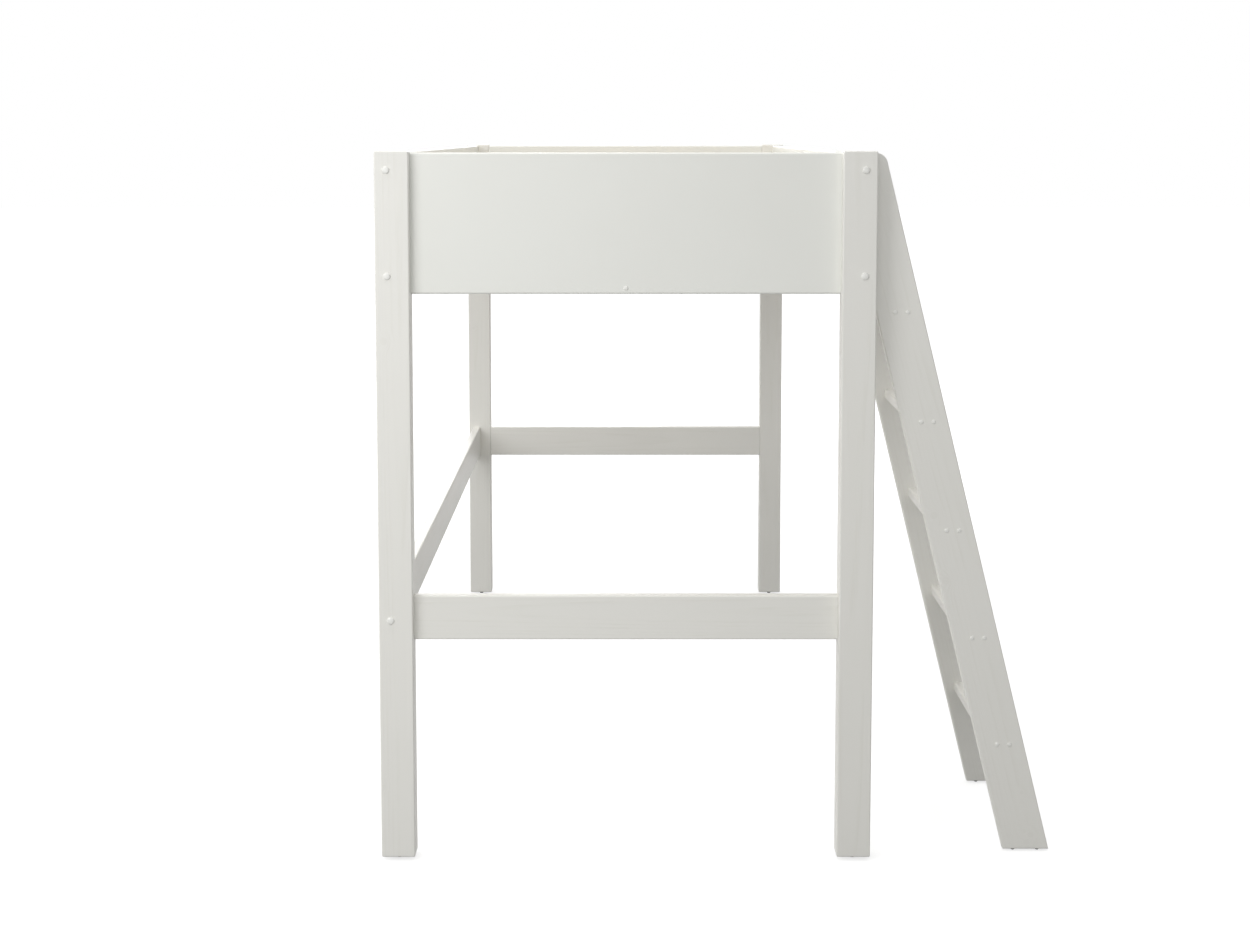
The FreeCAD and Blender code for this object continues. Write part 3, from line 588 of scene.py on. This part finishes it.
def seats(name, facing_of, rim):
    """Seat, facing and depth of each solid that faces out of the wood and stands proud by its rim."""
    found = []
    for low, high in solid_boxes(name):
        middle = (low + high) / 2
        facing = Vector(facing_of(middle))
        depth = abs(facing.dot(high - low))
        outer = middle + facing * depth / 2
        found.append((outer - facing * rim, facing, depth))
    return found


def out_of_the_ends(middle):
    return (0, math.copysign(1, middle.y), 0)


def out_of_the_stringers(middle):
    ladder_low, ladder_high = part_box(STRINGERS[0])
    other_low, other_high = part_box(STRINGERS[1])
    ladder_middle = (min(ladder_low.y, other_low.y) + max(ladder_high.y, other_high.y)) / 2
    return (0, math.copysign(1, middle.y - ladder_middle), 0)


def up(_):
    return (0, 0, 1)


def into_the_bed(middle):
    """From a batten towards the open middle of the slatted base."""
    low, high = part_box("slat_batten_front")
    if abs(middle.y) > high.y - 2 * (high.x - low.x):
        return (0, -math.copysign(1, middle.y), 0)
    bed_middle = (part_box("slat_batten_back")[0].x + high.x) / 2
    return (math.copysign(1, bed_middle - middle.x), 0, 0)


def towards_the_back(_):
    return (-1, 0, 0)


# Geometry trees
FILLET_POINTS = 7
CREASE_ANGLE = math.radians(35)


def geometry_tree(name, sizes):
    """An empty tree with a size input for each entry; gives its graph, inputs and output."""
    tree = bpy.data.node_groups.new(name, "GeometryNodeTree")
    tree.interface.new_socket("Seats", in_out="INPUT", socket_type="NodeSocketGeometry")
    tree.interface.new_socket("Material", in_out="INPUT", socket_type="NodeSocketMaterial")
    for label in sizes:
        tree.interface.new_socket(label, in_out="INPUT", socket_type=FLOAT)
    tree.interface.new_socket("Seed", in_out="INPUT", socket_type="NodeSocketInt")
    tree.interface.new_socket("Pieces", in_out="OUTPUT", socket_type="NodeSocketGeometry")
    graph = Graph(tree)
    return graph, graph.node("NodeGroupInput").outputs, graph.node("NodeGroupOutput").inputs[0]


def switch_by_index(graph, kind, values):
    made = graph.node("GeometryNodeIndexSwitch", data_type=kind)
    while len(made.index_switch_items) < len(values):
        made.index_switch_items.new()
    graph.feed(made.inputs[0], graph.node("GeometryNodeInputIndex").outputs[0])
    for socket, value in zip(list(made.inputs)[1:], values):
        graph.feed(socket, value)
    return made.outputs[0]


def profile_line(graph, corners):
    """An open line through corners of radius, height and rounding."""
    straight = graph.node("GeometryNodeCurvePrimitiveLine").outputs[0]
    line = graph.node("GeometryNodeResampleCurve", {"Curve": straight, "Count": len(corners)}).outputs[0]
    points = [graph.combine(radius, 0.0, height) for radius, height, _ in corners]
    moved = graph.node(
        "GeometryNodeSetPosition", {"Geometry": line, "Position": switch_by_index(graph, "VECTOR", points)}
    ).outputs[0]
    rounding = switch_by_index(graph, "FLOAT", [radius for _, _, radius in corners])
    return graph.node(
        "GeometryNodeFilletCurve",
        {"Curve": moved, "Count": FILLET_POINTS, "Radius": rounding, "Limit Radius": True},
        mode="POLY",
    ).outputs[0]


def turned(graph, corners, segments=40):
    """A closed body turned about Z from a line of corners that starts and ends on the axis."""
    line = profile_line(graph, corners)
    rings = graph.node("GeometryNodeAttributeDomainSize", {"Geometry": line}, component="CURVE").outputs[0]
    grid = graph.node("GeometryNodeMeshGrid", {"Vertices X": segments + 1, "Vertices Y": rings}).outputs[0]
    index = graph.node("GeometryNodeInputIndex").outputs[0]
    ring = graph.math("MODULO", index, rings)
    segment = graph.math("FLOOR", graph.math("DIVIDE", index, rings))
    angle = graph.math("MULTIPLY", segment, math.tau / segments)
    sample = graph.node("GeometryNodeSampleIndex", data_type="FLOAT_VECTOR")
    graph.feed(sample.inputs["Geometry"], line)
    graph.feed(sample.inputs["Value"], graph.node("GeometryNodeInputPosition").outputs[0])
    graph.feed(sample.inputs["Index"], ring)
    radius, _, height = graph.separate(sample.outputs[0])
    place = graph.combine(
        graph.math("MULTIPLY", radius, graph.math("COSINE", angle)),
        graph.math("MULTIPLY", radius, graph.math("SINE", angle)),
        height,
    )
    body = graph.node("GeometryNodeSetPosition", {"Geometry": grid, "Position": place}).outputs[0]
    closed = graph.node("GeometryNodeMergeByDistance", {"Geometry": body, "Distance": MERGE_DISTANCE})
    return closed.outputs[0]


def softened(graph, body):
    """Smooth faces, with creases left sharp."""
    smooth = graph.node("GeometryNodeSetShadeSmooth", {"Geometry": body, "Shade Smooth": True}).outputs[0]
    angle = graph.node("GeometryNodeInputMeshEdgeAngle").outputs["Unsigned Angle"]
    crease = graph.node("FunctionNodeCompare", {"A": angle, "B": CREASE_ANGLE}).outputs[0]
    return graph.node(
        "GeometryNodeSetShadeSmooth",
        {"Geometry": smooth, "Selection": crease, "Shade Smooth": False},
        domain="EDGE",
    ).outputs[0]


def set_on_seats(graph, given, body, output, spin=0.0):
    """A copy of the body on each seat, turned to its facing and by a random share of a spin."""
    facing = graph.node("GeometryNodeInputNamedAttribute", {"Name": "facing"}, data_type="FLOAT_VECTOR")
    turn = graph.node("FunctionNodeAlignRotationToVector", {"Vector": facing.outputs[0]}).outputs[0]
    chance = graph.node("FunctionNodeRandomValue", {"Seed": given["Seed"]})
    angle = graph.math("MULTIPLY", chance.outputs[1], spin)
    about = graph.node("FunctionNodeAxisAngleToRotation", {"Axis": (0, 0, 1), "Angle": angle}).outputs[0]
    turn = graph.node(
        "FunctionNodeRotateRotation", {"Rotation": turn, "Rotate By": about}, rotation_space="LOCAL"
    ).outputs[0]
    copies = graph.node(
        "GeometryNodeInstanceOnPoints",
        {"Points": given["Seats"], "Instance": softened(graph, body), "Rotation": turn},
    ).outputs[0]
    solid = graph.node("GeometryNodeRealizeInstances", {"Geometry": copies}).outputs[0]
    painted = graph.node("GeometryNodeSetMaterial", {"Geometry": solid, "Material": given["Material"]})
    graph.feed(output, painted.outputs[0])
    return graph.tree


# Shares of a cap's radius and height along its dome, and of its height at the foot
CAP_CROWN = (0.45, 0.98)
CAP_SHOULDER = (0.84, 0.78)
CAP_SIDE = (1.0, 0.3)
CAP_FOOT = 0.06


def domed_cap_tree():
    """A cap with a slightly crowned middle, a strongly rounded edge and a stem that plugs its bore."""
    graph, given, output = geometry_tree("domed cap", ("Diameter", "Height", "Edge Round", "Plug", "Stem"))
    rim = graph.half(given["Diameter"])
    plug = graph.half(given["Plug"])
    foot = graph.math("MULTIPLY", given["Height"], CAP_FOOT)
    end = graph.minus(given["Stem"])

    def on_dome(shares, rounding):
        radius, height = shares
        rise = graph.math("MULTIPLY", given["Height"], height)
        return graph.math("MULTIPLY", rim, radius), rise, rounding

    corners = [
        (0.0, given["Height"], 0.0),
        on_dome(CAP_CROWN, rim),
        on_dome(CAP_SHOULDER, given["Edge Round"]),
        on_dome(CAP_SIDE, given["Edge Round"]),
        (rim, foot, 0.0),
        (graph.math("SUBTRACT", rim, foot), 0.0, 0.0),
        (plug, 0.0, 0.0),
        (plug, end, foot),
        (0.0, end, 0.0),
    ]
    return set_on_seats(graph, given, turned(graph, corners), output)


# Shares of a screw's or bolt's head: its rounded edge, and the reach, width and depth of its recess
HEAD_EDGE = 0.14
CROSS_REACH = 0.58
CROSS_WIDTH = 0.14
CROSS_DEPTH = 1.4
SOCKET_RADIUS = 0.19
SOCKET_DEPTH = 1.5


def screw_corners(graph, given):
    """Outline of a screw whose head is flush with its seat."""
    head = graph.half(given["Head"])
    shank = graph.half(given["Shank"])
    under = graph.minus(given["Head Height"])
    edge = graph.math("MULTIPLY", given["Head Height"], HEAD_EDGE)
    tip = graph.minus(given["Length"])
    return [
        (0.0, 0.0, 0.0),
        (graph.math("SUBTRACT", head, edge), 0.0, edge),
        (head, graph.minus(edge), edge),
        (head, under, 0.0),
        (shank, under, 0.0),
        (shank, graph.math("ADD", tip, given["Shank"]), 0.0),
        (0.0, tip, 0.0),
    ]


def cut_recess(graph, body, cutters):
    made = graph.node("GeometryNodeMeshBoolean", {"Mesh 1": body}, operation="DIFFERENCE", solver="EXACT")
    for cutter in cutters:
        graph.tree.links.new(cutter, made.inputs["Mesh 2"])
    return made.outputs[0]


def cross_screw_tree():
    """A wood screw with a cross recess."""
    graph, given, output = geometry_tree("cross screw", ("Head", "Head Height", "Shank", "Length"))
    body = turned(graph, screw_corners(graph, given), segments=32)
    arm = graph.math("MULTIPLY", given["Head"], CROSS_REACH)
    width = graph.math("MULTIPLY", given["Head"], CROSS_WIDTH)
    depth = graph.math("MULTIPLY", given["Head Height"], CROSS_DEPTH)
    arms = []
    for size in (graph.combine(arm, width, depth), graph.combine(width, arm, depth)):
        arms.append(graph.node("GeometryNodeMeshCube", {"Size": size}).outputs[0])
    return set_on_seats(graph, given, cut_recess(graph, body, arms), output, spin=math.pi)


def socket_bolt_tree():
    """A furniture bolt with a flat head and a hexagon socket."""
    graph, given, output = geometry_tree("socket bolt", ("Head", "Head Height", "Shank", "Length"))
    body = turned(graph, screw_corners(graph, given))
    key = graph.node(
        "GeometryNodeMeshCylinder",
        {
            "Vertices": 6,
            "Radius": graph.math("MULTIPLY", given["Head"], SOCKET_RADIUS),
            "Depth": graph.math("MULTIPLY", given["Head Height"], SOCKET_DEPTH),
        },
    ).outputs[0]
    return set_on_seats(graph, given, cut_recess(graph, body, [key]), output, spin=math.pi)


# Shares of a glide's height: its ledge under the nail, its waist and its rounded edges
GLIDE_LEDGE = 0.72
GLIDE_WAIST = 0.5
GLIDE_EDGE = 0.12


def glide_foot_tree():
    """A tapered plastic foot with a recess for its nail's head."""
    graph, given, output = geometry_tree("glide foot", ("Diameter", "Base", "Height", "Recess", "Bore"))
    rim = graph.half(given["Diameter"])
    base = graph.half(given["Base"])
    recess = graph.half(given["Recess"])
    bore = graph.half(given["Bore"])
    sole = graph.minus(given["Height"])
    waist = graph.math("MULTIPLY", sole, GLIDE_WAIST)
    ledge = graph.math("MULTIPLY", sole, GLIDE_LEDGE)
    edge = graph.math("MULTIPLY", given["Height"], GLIDE_EDGE)
    corners = [
        (0.0, 0.0, 0.0),
        (rim, 0.0, edge),
        (rim, waist, edge),
        (base, sole, edge),
        (recess, sole, 0.0),
        (recess, ledge, 0.0),
        (bore, ledge, 0.0),
        (0.0, ledge, 0.0),
    ]
    return set_on_seats(graph, given, turned(graph, corners), output)


def glide_nail_tree():
    """The nail that holds a glide, with a low domed head."""
    sizes = ("Head", "Head Top", "Head Bottom", "Shank", "Length")
    graph, given, output = geometry_tree("glide nail", sizes)
    head = graph.half(given["Head"])
    shank = graph.half(given["Shank"])
    head_middle = graph.half(graph.math("ADD", given["Head Top"], given["Head Bottom"]))
    corners = [
        (0.0, given["Head Bottom"], 0.0),
        (head, head_middle, head),
        (head, given["Head Top"], 0.0),
        (shank, given["Head Top"], 0.0),
        (shank, graph.math("SUBTRACT", given["Length"], given["Shank"]), 0.0),
        (0.0, given["Length"], 0.0),
    ]
    return set_on_seats(graph, given, turned(graph, corners, segments=24), output)


STAPLE_BEND = 0.9
STAPLE_SPIN = 0.15
WIRE_SIDES = 8


def staple_tree():
    """A wire staple: its crown lies across X, and its legs go along +Z."""
    graph, given, output = geometry_tree("staple", ("Crown", "Leg", "Wire"))
    half = graph.half(given["Crown"])
    other = graph.minus(half)
    bend = graph.math("MULTIPLY", given["Wire"], STAPLE_BEND)
    corners = [
        (other, given["Leg"], 0.0),
        (other, 0.0, bend),
        (half, 0.0, bend),
        (half, given["Leg"], 0.0),
    ]
    wire = graph.node(
        "GeometryNodeCurvePrimitiveCircle",
        {"Resolution": WIRE_SIDES, "Radius": graph.half(given["Wire"])},
    ).outputs[0]
    body = graph.node(
        "GeometryNodeCurveToMesh",
        {"Curve": profile_line(graph, corners), "Profile Curve": wire, "Fill Caps": True},
    ).outputs[0]
    return set_on_seats(graph, given, body, output, spin=STAPLE_SPIN)


def built(name, tree, places, material, slot, seed=1, **sizes):
    """A plain mesh from a tree on places of seat and facing, riding with the bed."""
    points = bpy.data.meshes.new(name)
    points.from_pydata([place[0] for place in places], [], [])
    facing = points.attributes.new("facing", "FLOAT_VECTOR", "POINT")
    for entry, place in zip(facing.data, places):
        entry.vector = place[1]
    piece = bpy.data.objects.new(name, points)
    bpy.context.scene.collection.objects.link(piece)

    modifier = piece.modifiers.new("build", "NODES")
    modifier.node_group = tree
    values = {label.replace("_", " ").title(): value for label, value in sizes.items()}
    values.update({"Material": material, "Seed": seed})
    for item in tree.interface.items_tree:
        if item.in_out == "INPUT" and item.name in values:
            modifier[item.identifier] = values[item.name]
    depsgraph = bpy.context.evaluated_depsgraph_get()
    mesh = bpy.data.meshes.new_from_object(piece.evaluated_get(depsgraph), depsgraph=depsgraph)
    piece.modifiers.remove(modifier)
    piece.data = mesh
    bpy.data.meshes.remove(points)

    shell = bmesh.new()
    shell.from_mesh(mesh)
    bmesh.ops.recalc_face_normals(shell, faces=shell.faces)
    shell.to_mesh(mesh)
    shell.free()
    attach(piece, "root")
    return piece


# Caps, screws and bolts
CAP_TREE = domed_cap_tree()
SCREW_TREE = cross_screw_tree()
BOLT_TREE = socket_bolt_tree()
CAPS = {
    # node: facing, height, edge round, plug diameter
    "bolt_caps": (out_of_the_ends, 3.5 * MM, 2.8 * MM, 12 * MM),
    "step_screw_caps": (out_of_the_stringers, 2 * MM, 1.6 * MM, 7.6 * MM),
    "end_panel_screw_caps": (out_of_the_ends, 2 * MM, 1.6 * MM, 7.6 * MM),
}
FLUSH_SCREWS = {"batten_screws": into_the_bed, "slat_screws": up}
SCREW_HEAD_HEIGHT = 3 * MM
SCREW_SHANK = 5 * MM
BOLT_SHANK = 6 * MM


def across_box(box, facing):
    """The widest size of a solid square to its facing."""
    low, high = box
    return max(size for size, part in zip(high - low, facing) if abs(part) < 0.5)


def cap_pieces():
    for node, (facing_of, height, edge_round, plug) in CAPS.items():
        places = seats(node, facing_of, height)
        diameter = across_box(solid_boxes(node)[0], places[0][1])
        piece = built(
            f"{node}_turned",
            CAP_TREE,
            places,
            CAP_PLASTIC,
            "cap_plastic",
            diameter=diameter,
            height=height,
            edge_round=edge_round,
            plug=plug,
            stem=places[0][2] - height,
        )
        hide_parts(node)


def screw_pieces():
    for node, facing_of in FLUSH_SCREWS.items():
        places = seats(node, facing_of, 0.0)
        piece = built(
            f"{node}_cross_recess",
            SCREW_TREE,
            places,
            ZINC,
            "zinc_steel",
            seed=7,
            head=across_box(solid_boxes(node)[0], places[0][1]),
            head_height=SCREW_HEAD_HEIGHT,
            shank=SCREW_SHANK,
            length=places[0][2],
        )
        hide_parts(node)

    places = seats("ladder_bolts", towards_the_back, 0.0)
    piece = built(
        "ladder_bolts_socket_head",
        BOLT_TREE,
        places,
        ZINC,
        "zinc_steel",
        seed=3,
        head=across_box(solid_boxes("ladder_bolts")[0], places[0][1]),
        head_height=SCREW_HEAD_HEIGHT,
        shank=BOLT_SHANK,
        length=places[0][2],
    )
    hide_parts("ladder_bolts")


# Glides
GLIDE_FOOT_TREE = glide_foot_tree()
GLIDE_NAIL_TREE = glide_nail_tree()
GLIDES = {
    # node: height of the foot, diameter of its base, of its recess and of the nail
    "post_glides": (7 * MM, 11 * MM, 7.4 * MM, 4 * MM),
    "ladder_glides": (4 * MM, 7 * MM, 4.8 * MM, 2.5 * MM),
}


# The nail's head in its recess: a share of the recess, and of the foot's height down to its top and bottom
NAIL_HEAD = 0.86
NAIL_HEAD_TOP = 0.7
NAIL_HEAD_BOTTOM = 0.9


def glide_pieces():
    for node, (height, base, recess, shank) in GLIDES.items():
        places = seats(node, up, 0.0)
        depth = places[0][2]
        tops = [(seat - facing * (depth - height), facing) for seat, facing, _ in places]
        diameter = across_box(solid_boxes(node)[0], (0, 0, 1))
        foot = built(
            f"{node}_foot",
            GLIDE_FOOT_TREE,
            tops,
            GLIDE_PLASTIC,
            "glide_plastic",
            diameter=diameter,
            base=base,
            height=height,
            recess=recess,
            bore=shank,
        )
        nail = built(
            f"{node}_nail",
            GLIDE_NAIL_TREE,
            tops,
            ZINC,
            "zinc_steel",
            head=recess * NAIL_HEAD,
            head_top=-height * NAIL_HEAD_TOP,
            head_bottom=-height * NAIL_HEAD_BOTTOM,
            shank=shank,
            length=depth - height,
        )
        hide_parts(node)
        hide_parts(node)


# Ribbons under the slats
RIBBON_THICKNESS = 1 * MM
RIBBON_SAG = 1.6 * MM
RIBBON_HEM = 20 * MM
RIBBON_CLEAR = 0.05 * MM
RIBBON_LAYER = RIBBON_THICKNESS + 4 * RIBBON_CLEAR
RIBBON_SHARES = (0, 0.04, 0.1, 0.3, 0.5, 0.7, 0.9, 0.96, 1)
SELVEDGE_SHARES = (0.04, 0.96)
SELVEDGE = 0.12 * MM
HEM_STEPS = 4
TURN_STEPS = 4
SAG_STEPS = 8
STAPLE_TREE = staple_tree()
STAPLE_OFFSET = 17 * MM
STAPLE_CROWN = 11 * MM
STAPLE_LEG = 8 * MM
STAPLE_WIRE = 1 * MM
STAPLE_PROUD = 0.3


def slat_spans():
    """The lowest and highest Y of each slat, from one end of the bed to the other."""
    return sorted((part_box(name)[0].y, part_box(name)[1].y) for name in SLATS)


def ribbon_line(low, high, top):
    """Points of Y and Z along a ribbon: hemmed ends, flat under the slats and a slight sag between them."""
    hem = [(low + RIBBON_HEM * (1 - step / HEM_STEPS), top - RIBBON_LAYER) for step in range(HEM_STEPS)]
    turn = []
    bend = RIBBON_LAYER / 2
    for step in range(TURN_STEPS + 1):
        angle = math.pi * step / TURN_STEPS
        turn.append((low - bend * math.sin(angle), top - bend * (1 + math.cos(angle))))
    points = hem + turn
    spans = slat_spans()
    for (_, first), (second, _) in zip(spans, spans[1:]):
        for step in range(SAG_STEPS + 1):
            share = step / SAG_STEPS
            points.append((first + (second - first) * share, top - RIBBON_SAG * 4 * share * (1 - share)))
    points += [(low + high - y, z) for y, z in reversed(hem + turn)]
    return points


def ribbon_mesh(name, low, high):
    """A strip of cloth with raised selvedges and a UV map in metres."""
    inset = RIBBON_THICKNESS
    line = ribbon_line(low.y + inset, high.y - inset, high.z - RIBBON_CLEAR)
    width = high.x - low.x
    lengths = [0.0]
    for (y, z), (next_y, next_z) in zip(line, line[1:]):
        lengths.append(lengths[-1] + math.hypot(next_y - y, next_z - z))
    cloth = bmesh.new()
    uv = cloth.loops.layers.uv.new("UVMap")
    rows = []
    flat = {}
    for (y, z), along in zip(line, lengths):
        row = []
        for share in RIBBON_SHARES:
            raised = SELVEDGE if share in SELVEDGE_SHARES else 0.0
            vertex = cloth.verts.new((low.x + width * share, y, z - raised))
            flat[vertex] = (width * share, along)
            row.append(vertex)
        rows.append(row)
    for row, following in zip(rows, rows[1:]):
        for side in range(len(RIBBON_SHARES) - 1):
            face = cloth.faces.new((row[side], row[side + 1], following[side + 1], following[side]))
            face.smooth = True
            for loop in face.loops:
                loop[uv].uv = flat[loop.vert]
    mesh = bpy.data.meshes.new(name)
    cloth.to_mesh(mesh)
    cloth.free()
    return mesh, lengths[-1]


def staple_places(low, high):
    """Two staples under each slat, set into the ribbon from below."""
    middle = (low.x + high.x) / 2
    places = []
    for first, second in slat_spans():
        slat_middle = (first + second) / 2
        for side in (-1, 1):
            y = slat_middle + side * STAPLE_OFFSET
            hemmed = y < low.y + RIBBON_HEM or y > high.y - RIBBON_HEM
            layers = 2 if hemmed else 1
            drop = layers * RIBBON_LAYER + STAPLE_WIRE * STAPLE_PROUD
            places.append((Vector((middle, y, high.z - drop)), Vector((0, 0, 1))))
    return places


def ribbon_pieces():
    cloth = woven_ribbon()
    for number, node in enumerate(RIBBONS):
        low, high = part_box(node)
        mesh, length = ribbon_mesh(f"{node}_webbing", low, high)
        mesh.materials.append(cloth)
        webbing = bpy.data.objects.new(f"{node}_webbing", mesh)
        bpy.context.scene.collection.objects.link(webbing)
        wall = webbing.modifiers.new("thickness", "SOLIDIFY")
        wall.thickness = RIBBON_THICKNESS
        wall.offset = 1
        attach(webbing, "root")
        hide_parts(node)
        staples = built(
            f"{node}_staples",
            STAPLE_TREE,
            staple_places(low, high),
            ZINC,
            "zinc_steel",
            seed=11 + number,
            crown=STAPLE_CROWN,
            leg=STAPLE_LEG,
            wire=STAPLE_WIRE,
        )


cap_pieces()
screw_pieces()
glide_pieces()
ribbon_pieces()


# Stage
FLOOR_SIDE = 60
FLOOR_BOUNCE = srgb(140, 140, 138)
FLOOR_GLOW = 0.7
FLOOR_GLOW_RANGE = (1.4, 3.2)
FLOOR_SHADOW_SHARE = 0.45
WORLD_LIGHT = 0.44
SKY = (1.0, 1.0, 1.0, 1)
LAMPS = {
    # name: place, aim, width, height, power
    "key_softbox": ((-1.7, -3.0, 1.65), (-0.3, -0.9, 0.9), 1.4, 1.4, 23.2),
    "left_softbox": ((-4.0, 0.2, 2.2), (0.0, 0.0, 0.8), 3.4, 2.6, 55),
    "top_softbox": ((-1.3, -0.4, 4.2), (-0.4, 0.0, 0.0), 4.0, 4.0, 78),
    "front_reflector": ((-0.4, -9.0, 1.8), (-0.1, 0.0, 0.6), 5.0, 2.0, 116),
    "far_end_softbox": ((-0.75, 5.6, 2.2), (-0.3, 0.6, 0.8), 1.4, 2.4, 46),
    "ladder_side_softbox": ((2.3, 0.5, 4.2), (0.2, 0.0, 0.9), 3.0, 1.8, 38),
}


def shown_to_eye(graph):
    """1 for what the camera sees straight, in a mirror or through glass."""
    path = graph.node("ShaderNodeLightPath").outputs
    seen = graph.math("MAXIMUM", path["Is Camera Ray"], path["Is Glossy Ray"])
    return graph.math("MAXIMUM", seen, path["Is Transmission Ray"])


def floor():
    """A pale floor that the camera sees as white with a faint shadow, and through from below."""
    mesh = bpy.data.meshes.new("floor")
    half = FLOOR_SIDE / 2
    corners = [(-half, -half, 0), (half, -half, 0), (half, half, 0), (-half, half, 0)]
    mesh.from_pydata(corners, [], [(0, 1, 2, 3)])
    plane = bpy.data.objects.new("floor", mesh)
    bpy.context.scene.collection.objects.link(plane)
    material = bpy.data.materials.new("pale_floor")
    material.use_nodes = True
    material.node_tree.nodes.clear()
    graph = Graph(material.node_tree)
    bounce = graph.node("ShaderNodeBsdfDiffuse", {"Color": FLOOR_BOUNCE}).outputs[0]
    away = graph.vector_math("LENGTH", graph.node("ShaderNodeTexCoord").outputs["Object"])
    strength = graph.spread(graph.smooth_step(away, *FLOOR_GLOW_RANGE), FLOOR_GLOW, 1.0)
    glow = graph.node("ShaderNodeEmission", {"Color": SKY, "Strength": strength}).outputs[0]
    shade = graph.node("ShaderNodeBsdfDiffuse", {"Color": (FLOOR_SHADOW_SHARE,) * 3 + (1,)}).outputs[0]
    white = graph.node("ShaderNodeAddShader")
    graph.feed(white.inputs[0], glow)
    graph.feed(white.inputs[1], shade)
    top = graph.node("ShaderNodeMixShader", {"Fac": shown_to_eye(graph)})
    graph.feed(top.inputs[1], bounce)
    graph.feed(top.inputs[2], white.outputs[0])
    below = graph.node("ShaderNodeNewGeometry").outputs["Backfacing"]
    either = graph.node("ShaderNodeMixShader", {"Fac": below})
    graph.feed(either.inputs[1], top.outputs[0])
    graph.feed(either.inputs[2], graph.node("ShaderNodeBsdfTransparent").outputs[0])
    graph.node("ShaderNodeOutputMaterial", {"Surface": either.outputs[0]})
    mesh.materials.append(material)


def sky():
    """Even studio light all round, seen as plain white."""
    world = bpy.data.worlds.new("studio")
    world.use_nodes = True
    world.node_tree.nodes.clear()
    graph = Graph(world.node_tree)
    light = graph.node("ShaderNodeBackground", {"Color": SKY, "Strength": WORLD_LIGHT}).outputs[0]
    white = graph.node("ShaderNodeBackground", {"Color": SKY, "Strength": 1.0}).outputs[0]
    either = graph.node("ShaderNodeMixShader", {"Fac": shown_to_eye(graph)})
    graph.feed(either.inputs[1], light)
    graph.feed(either.inputs[2], white)
    graph.node("ShaderNodeOutputWorld", {"Surface": either.outputs[0]})
    bpy.context.scene.world = world


def lamps():
    for name, (place, aim, width, height, power) in LAMPS.items():
        data = bpy.data.lights.new(name, "AREA")
        data.shape = "RECTANGLE"
        data.size, data.size_y = width, height
        data.energy = power
        lamp = bpy.data.objects.new(name, data)
        lamp.location = place
        lamp.rotation_euler = (Vector(aim) - Vector(place)).to_track_quat("-Z", "Y").to_euler()
        lamp.visible_camera = False
        bpy.context.scene.collection.objects.link(lamp)


def camera():
    """A camera at the end of the bed, a little above its top, framed as the photograph is."""
    data = bpy.data.cameras.new("photo_view")
    data.sensor_width = SENSOR_WIDTH
    data.lens = FOCAL_PIXELS * SENSOR_WIDTH / PHOTO_WIDTH
    data.shift_x, data.shift_y = FRAME_SHIFT
    left_low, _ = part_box("post_back_left")
    _, right_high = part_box("post_front_left")
    eye = bpy.data.objects.new("photo_view", data)
    bed_middle = (left_low.x + right_high.x) / 2
    eye.location = (bed_middle + EYE_OFFSET, left_low.y - EYE_DISTANCE, EYE_HEIGHT)
    eye.rotation_euler = (math.pi / 2 - EYE_PITCH, 0, 0)
    bpy.context.scene.collection.objects.link(eye)
    bpy.context.scene.camera = eye


floor()
sky()
lamps()
camera()
bpy.context.scene.view_settings.view_transform = "Standard"
